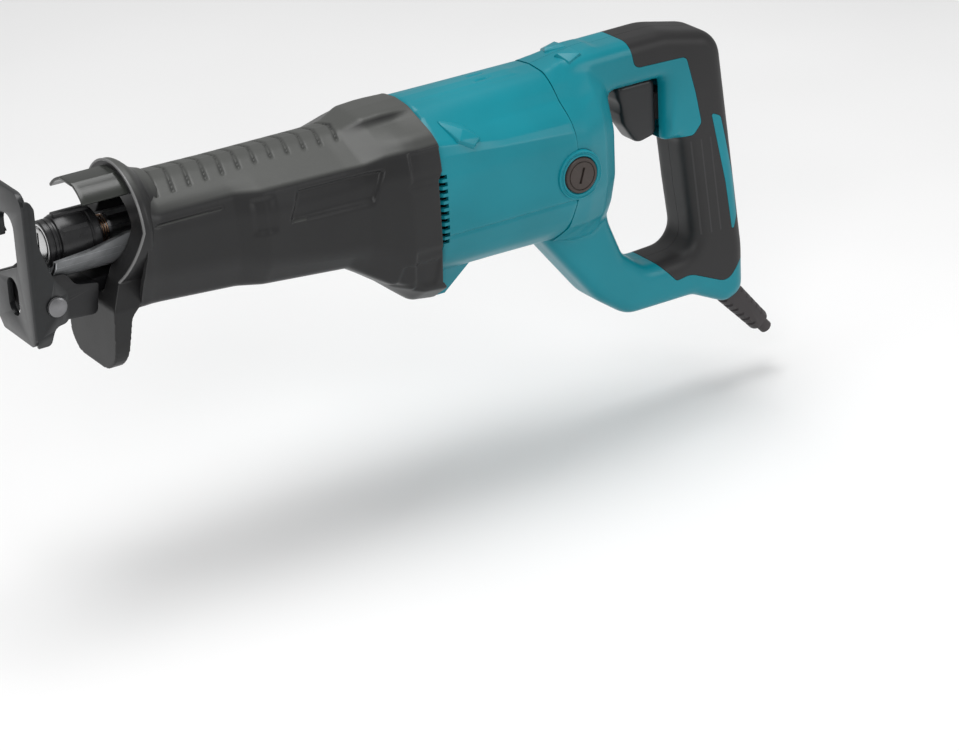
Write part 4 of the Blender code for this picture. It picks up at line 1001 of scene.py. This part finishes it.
def brush_caps():
    profile = [
        (0.001, 35.6), (10, 35.6), (10.1, 41.9), (9.7, 42.7), (8.9, 42.9), (8.3, 42.9), (8.1, 42.4),
            (7.8, 42.4), (7.6, 42.9),
        (0.001, 42.9),
    ]
    for side, label in SIDES:
        cap = lathe("brush_cap_%s_face" % label, profile, (BRUSH[0], 0, BRUSH[1]), (0, side, 0), 72)
        slot = box("cap_slot", (-4.6, -1.3, -0.75), (4.6, 1.3, 0.75))
        slot.data.transform(Matrix.Translation(-SHIFT * MM))
        slot.data.transform(Matrix.Rotation(math.radians(-72), 4, "Y"))
        slot.data.transform(Matrix.Translation((Vector((BRUSH[0], side * 43, BRUSH[1])) + SHIFT) * MM))
        cut(cap, slot)
        finish_piece(cap, "cap", "saw", "cap_brown", "brush_cap_" + label, angle=30)


# ---------------- handle


def handle_outline():
    corners = [
        (236, 25, 0), (260, 26.6, 10), (274, 30.6, 16), (333, 31.6, 40), (371, 23.6, 17),
            (385.5, -108, 70), (385.5, -137.5, 9.5), (373, -142.5, 9),
        (350, -131.5, 12), (304, -131.5, 18), (284.5, -117.5, 26), (240, -61, 0),
    ]
    return rounded(corners, 10)


def finger_opening():
    corners = [
        (298, 4.5, 5), (332, 4.5, 2), (332, -33, 2), (343.5, -34, 4), (347, -66, 30), (352, -104, 12),
        (318, -105.5, 14), (302.5, -93, 9), (292.5, -68, 25), (296, -34, 25), (291, -1.5, 5),
    ]
    return rounded(corners, 8)


def dome_stations():
    start = [(0, 27.8), (13, 26.4), (20.3, 21.6), (27, 13.3), (34.5, 7.3), (37.2, 4.6), (39.4, 0),
             (40.3, -5), (40.6, -8),
             (40.6, -40), (35, -57), (22, -67.5), (0, -69)]
    seam = SEAM_TOP + [(40.5, -8), (40.3, -40), (34.5, -57.5), (22, -69), (0, -71)]
    rise = [(0, 30.2), (10.8, 29.2), (18.5, 21.2), (26, 11.5), (32, 5.2), (34.6, 1.8), (37.2, -3),
            (38.2, -7), (38.4, -10),
            (38.2, -40), (33, -58), (21, -72), (0, -78)]
    bulge = [(0, 31.8), (10.9, 31.1), (17.6, 22.5), (24.4, 12), (29.3, 4), (31, 1), (32.8, -4),
             (33.6, -9), (33.8, -12),
             (33.6, -40), (29, -58), (19, -72), (0, -79)]
    back = [(0, 32.4), (9.4, 31.9), (13.6, 24.5), (17.4, 13), (21, 4), (22.5, 1), (24.6, -5), (26.3, -10),
            (26.8, -14),
            (26.5, -38), (22, -54), (16, -66), (0, -76)]
    close = [(0, 28), (7.5, 27), (10, 20), (11.8, 10), (13.4, 3), (14, 0), (15.3, -6), (16.4, -11),
             (16.8, -15),
             (16.6, -36), (14, -50), (10, -58), (0, -62)]
    return [(226, start), (253, seam), (266, rise), (279, bulge), (289.5, back), (295, close)]


def seam_block(name, offset):
    line = [(seam_x(z) + offset, z) for z in range(-96, 61, 4)]
    return plate(name, line + [(100, 60), (100, -96)], "Y", 0, 70)


def handle_body():
    body = puffed("handle_body", handle_outline(), finger_opening(), GRIP_HALF, GRIP_ROUNDING)
    dome = loft("dome", dome_stations())
    cut(dome, plate("dome_opening", inset(finger_opening(), 0.4), "Y", 0, 60))
    join(body, dome)
    soften(body, 1.3, 10)
    return body


def grip_region():
    corners = [
        (297, 60, 0), (299, 40, 0), (308, 33, 6), (311, 16, 5), (346, 15, 4), (352, -8, 12),
            (355.5, -26, 3.5),
        (350, -32, 3.5), (306, -36, 0), (306, -94, 0), (319, -99, 12), (336, -117.5, 3), (346, -116, 14),
        (372, -127.5, 8), (381, -117, 8), (410, -105, 0), (410, 60, 0),
    ]
    return rounded(corners, 6)


def stripe():
    corners = [(362.5, -22, 1), (369, -25, 4), (378.5, -66, 25), (380, -88, 5), (375.8, -98, 1),
               (371.5, -66, 25)]
    return rounded(corners, 6)


def core(name, slack):
    outline = inset(handle_outline(), CORE_INSET - slack)
    hole = inset(finger_opening(), -(CORE_INSET - slack))
    return plate(name, outline, "Y", 0, CORE_HALF + slack, hole)


def other_side(side):
    """Everything beyond the joint face between the two halves."""
    low = -SPLIT_HALF if side < 0 else -60
    high = 60 if side < 0 else SPLIT_HALF
    return box("half", (150, low, -250), (450, high, 100))


CORD_START = Vector((380.5, 0, -138.5))
CORD_WAY = Vector((0.669, 0, -0.743))


def cord_point(s):
    return CORD_START + CORD_WAY * s


def dome_facets():
    """Four-cornered facet on each shoulder of the dome."""
    quad = [(266.5, 4.6, 30.6), (278.5, 1.5, 31.6), (279.5, 12.2, 30.2), (269.5, 14.2, 26.8)]
    tail = [(268, 8, 24), (276, 8, 25)]
    for side, label in SIDES:
        facet = diamond("dome_facet_%d" % (side + 2), side, quad, (-0.2, 1, 1.5), tail)
        bevel(facet, 0.5, 2, 15)
        finish_piece(facet, "teal", "saw", "housing_teal", "handle_" + label, angle=18)


def sink(x, z):
    return drum("sink", (x, 12.5, z), (x, 30, z), 3.9)


def handle():
    body = handle_body()
    cut(body, seam_block("seam_ahead", 0.15))
    dome_facets()
    cut(body, box("trigger_pocket", (325, -8.6, -32.4), (352, 8.6, 4.4)))
    cut(body, drum("guard_room", cord_point(-8.4), cord_point(60), 8.7))
    cut(body, drum("cap_room", (BRUSH[0], -60, BRUSH[1]), (BRUSH[0], 60, BRUSH[1]), 14.35, sides=96))
    grip = copy_of(body, "grip_body")
    room = plate("room", grip_region(), "Y", 0, 40)
    cut(room, core("core_inside", 0))
    cut(room, plate("stripe_inside", inset(stripe(), 0.12), "Y", 0, 50))
    cut(body, room)
    cut(body, slot_stack("rear_vents", 8, (9, 62, 2.8), 297.5, -11, REAR_VENT_PITCH))
    boolean(grip, [plate("grip_block", inset(grip_region(), 0.25), "Y", 0, 40)], "INTERSECT")
    cut(grip, core("core_outside", 0.2))
    cut(grip, plate("stripe_outside", inset(stripe(), -0.12), "Y", 0, 50))
    for side, label in SIDES:
        half = copy_of(body, "handle_shell_" + label)
        cut(half, other_side(side))
        if side > 0:
            cut(half, drum("button_bore", (BUTTON[0], 5, BUTTON[1]), (BUTTON[0], 30, BUTTON[1]), 5))
            cut(half, *[sink(x, z) for x, z in SCREWS[:3]])
        finish_piece(half, "teal", "saw", "housing_teal", "handle_" + label, angle=32)
        rubber = copy_of(grip, "grip_shell_" + label)
        cut(rubber, other_side(side))
        if side > 0:
            cut(rubber, sink(*SCREWS[3]))
        finish_piece(rubber, "grip", "saw", "grip_grey", "grip_" + label, angle=32)
    bpy.data.objects.remove(body, do_unlink=True)
    bpy.data.objects.remove(grip, do_unlink=True)


SCREWS = ((284, -99), (318, -118.5), (351, -123.5), (334, 21.3))


def handle_screws():
    for k, (x, z) in enumerate(SCREWS):
        head = lathe("screw_head_%d" % (k + 1),
                     [(0.001, -12), (2, -12), (2, 12.9), (3.5, 12.9), (3.5, 14.7), (3, 15.4),
                      (0.001, 15.6)],
                     (x, 0, z), (0, 1, 0), 32)
        slots = [box("cross", (x - 2.1, 14.2, z - 0.4), (x + 2.1, 17, z + 0.4)),
                 box("cross", (x - 0.4, 14.2, z - 2.1), (x + 0.4, 17, z + 2.1))]
        cut(head, *slots)
        finish_piece(head, "screw", "saw", "screw_steel", "handle_screw_%d" % (k + 1), angle=30)


def trigger():
    corners = [(305, 3.8, 3), (331, 3.8, 4), (331.3, -30, 4), (318, -33, 6), (309.5, -20, 10)]
    blade = plate("trigger_blade", rounded(corners, 8), "Y", 0, 8)
    bevel(blade, 3, 4, 50)
    hollow = drum("finger_hollow", (291.5, -20, -12), (291.5, 20, -12), 16.8, sides=96)
    cut(blade, hollow)
    stem = box("stem", (326, -6, -22), (341, 6, -6))
    join(blade, stem)
    soften(blade, 0.7, 6)
    finish_piece(blade, "trigger", "trigger_lever", "trigger_black", "trigger", angle=40)


def lock_button():
    profile = [(0.001, 12.9), (4.7, 12.9), (4.7, 19.2), (4.3, 20), (3.4, 20.4), (2.6, 20.2),
               (0.001, 20)]
    button = lathe("lock_button_cap", profile, (BUTTON[0], 0, BUTTON[1]), (0, 1, 0), 48)
    finish_piece(button, "trigger", "lock_button", "trigger_black", "lock_on_button", angle=30)


def cord():
    profile = [(8.3, -8), (8.3, -4), (7.5, -3), (8.1, 0)]
    for k in range(6):
        s = 3 + 5.6 * k
        radius = 8.0 - 0.043 * s
        profile += [(radius, s), (radius - 0.9, s + 0.5), (radius - 0.9, s + 1.7), (radius - 0.1, s + 2.2)]
    profile += [(6.5, 37), (6.2, 38), (4.3, 38), (4.3, -8)]
    guard = lathe("guard_sleeve", profile, cord_point(0), CORD_WAY, 48)
    cut(guard, box("guard_side_a", (300, 5.2, -200), (450, 20, -50)),
        box("guard_side_b", (300, -20, -200), (450, -5.2, -50)))
    finish_piece(guard, "cord", "saw", "guard_rubber", "cord_guard", angle=30)
    points = [tuple(cord_point(-30 + 2 * k)) for k in range(39)]
    cable = wire("cord_stub", points, 3.9, 8)
    finish_piece(cable, "cord", "saw", "guard_rubber", "power_cord", angle=50)


# ---------------- carried-over CAD nodes


def dress_cad_nodes():
    looks = {
        "cast": ["gear_housing", "gear_housing_cover", "gearbox_rear_wall", "bearing_carrier"],
        "brass": ["front_guide_bush", "brush_holder_left", "brush_holder_right"],
        "seal": ["rod_seal"],
        "bearing": ["crank_bearing_upper", "crank_bearing_lower", "front_motor_bearing",
                    "rear_motor_bearing"],
        "gear": ["crank_gear", "crank_pin", "crank_roller", "motor_pinion"],
        "rod": ["slider_rod", "lock_pin", "armature_shaft"],
        "dark": ["air_baffle", "switch_body"],
        "lamination": ["field_core", "armature_core"],
        "copper": ["field_coil_upper", "field_coil_lower", "commutator"],
        "fan": ["cooling_fan"],
        "carbon": ["carbon_brush_left", "carbon_brush_right"],
    }
    for look, names in looks.items():
        for name in names:
            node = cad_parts[name]
            node.data.materials.clear()
            node.data.materials.append(PAINT[look])


# ---------------- stage


def camera():
    """A long lens 1.69 m away, ahead of the tool's left side and above it."""
    data = bpy.data.cameras.new("camera")
    made = bpy.data.objects.new("camera", data)
    bpy.context.scene.collection.objects.link(made)
    data.sensor_width = 36.0
    data.lens = 123.87904
    data.clip_end = 50
    spot = Vector((-0.6497302, -1.4279065, 0.6218196))
    angles = [math.radians(a) for a in (65.360416, 2.724135, -32.91963)]
    made.matrix_world = Matrix.LocRotScale(spot, Euler(angles), None)
    bpy.context.scene.camera = made


def area(name, spot, aim, size, power, size_y=None):
    data = bpy.data.lights.new(name, "AREA")
    data.size = size
    if size_y:
        data.shape = "RECTANGLE"
        data.size_y = size_y
    data.energy = power
    lamp = bpy.data.objects.new(name, data)
    bpy.context.scene.collection.objects.link(lamp)
    lamp.location = spot
    lamp.rotation_mode = "QUATERNION"
    lamp.rotation_quaternion = (Vector(aim) - Vector(spot)).to_track_quat("-Z", "Y")


def studio():
    bm = bmesh.new()
    bmesh.ops.create_grid(bm, x_segments=2, y_segments=2, size=6000)
    floor = add("floor", bm)
    floor.location.z = FLOOR_Z
    material, tree, shader = nodes_of("pale_floor")
    speckle = noise(tree, 3, 2)
    tone = ramp(tree, speckle.outputs["Fac"], [(0.3, (0.86, 0.86, 0.86)), (0.7, (0.90, 0.90, 0.90))])
    link(tree, tone.outputs["Color"], shader.inputs["Base Color"])
    shader.inputs["Roughness"].default_value = 0.85
    floor.data.materials.append(material)
    world = bpy.data.worlds.new("studio")
    bpy.context.scene.world = world
    world.use_nodes = True
    world.node_tree.nodes["Background"].inputs["Color"].default_value = (1, 1, 1, 1)
    world.node_tree.nodes["Background"].inputs["Strength"].default_value = 0.42
    area("top_light", (0.1, 0.1, 1.5), (0.17, 0, 0), 1.4, 20, 0.9)
    area("front_light", (-0.9, -1.4, 0.9), (0.1, 0, 0), 0.8, 9)
    area("side_light", (1.2, -1.2, 0.5), (0.3, 0, -0.02), 0.7, 5)
    bpy.context.scene.view_settings.view_transform = "Standard"


boot()
nose_hood()
gearbox_nose()
clamp()
turning_sleeve()
shoe()
holder()
motor_housing()
brush_caps()
handle()
handle_screws()
trigger()
lock_button()
cord()
dress_cad_nodes()
camera()
studio()
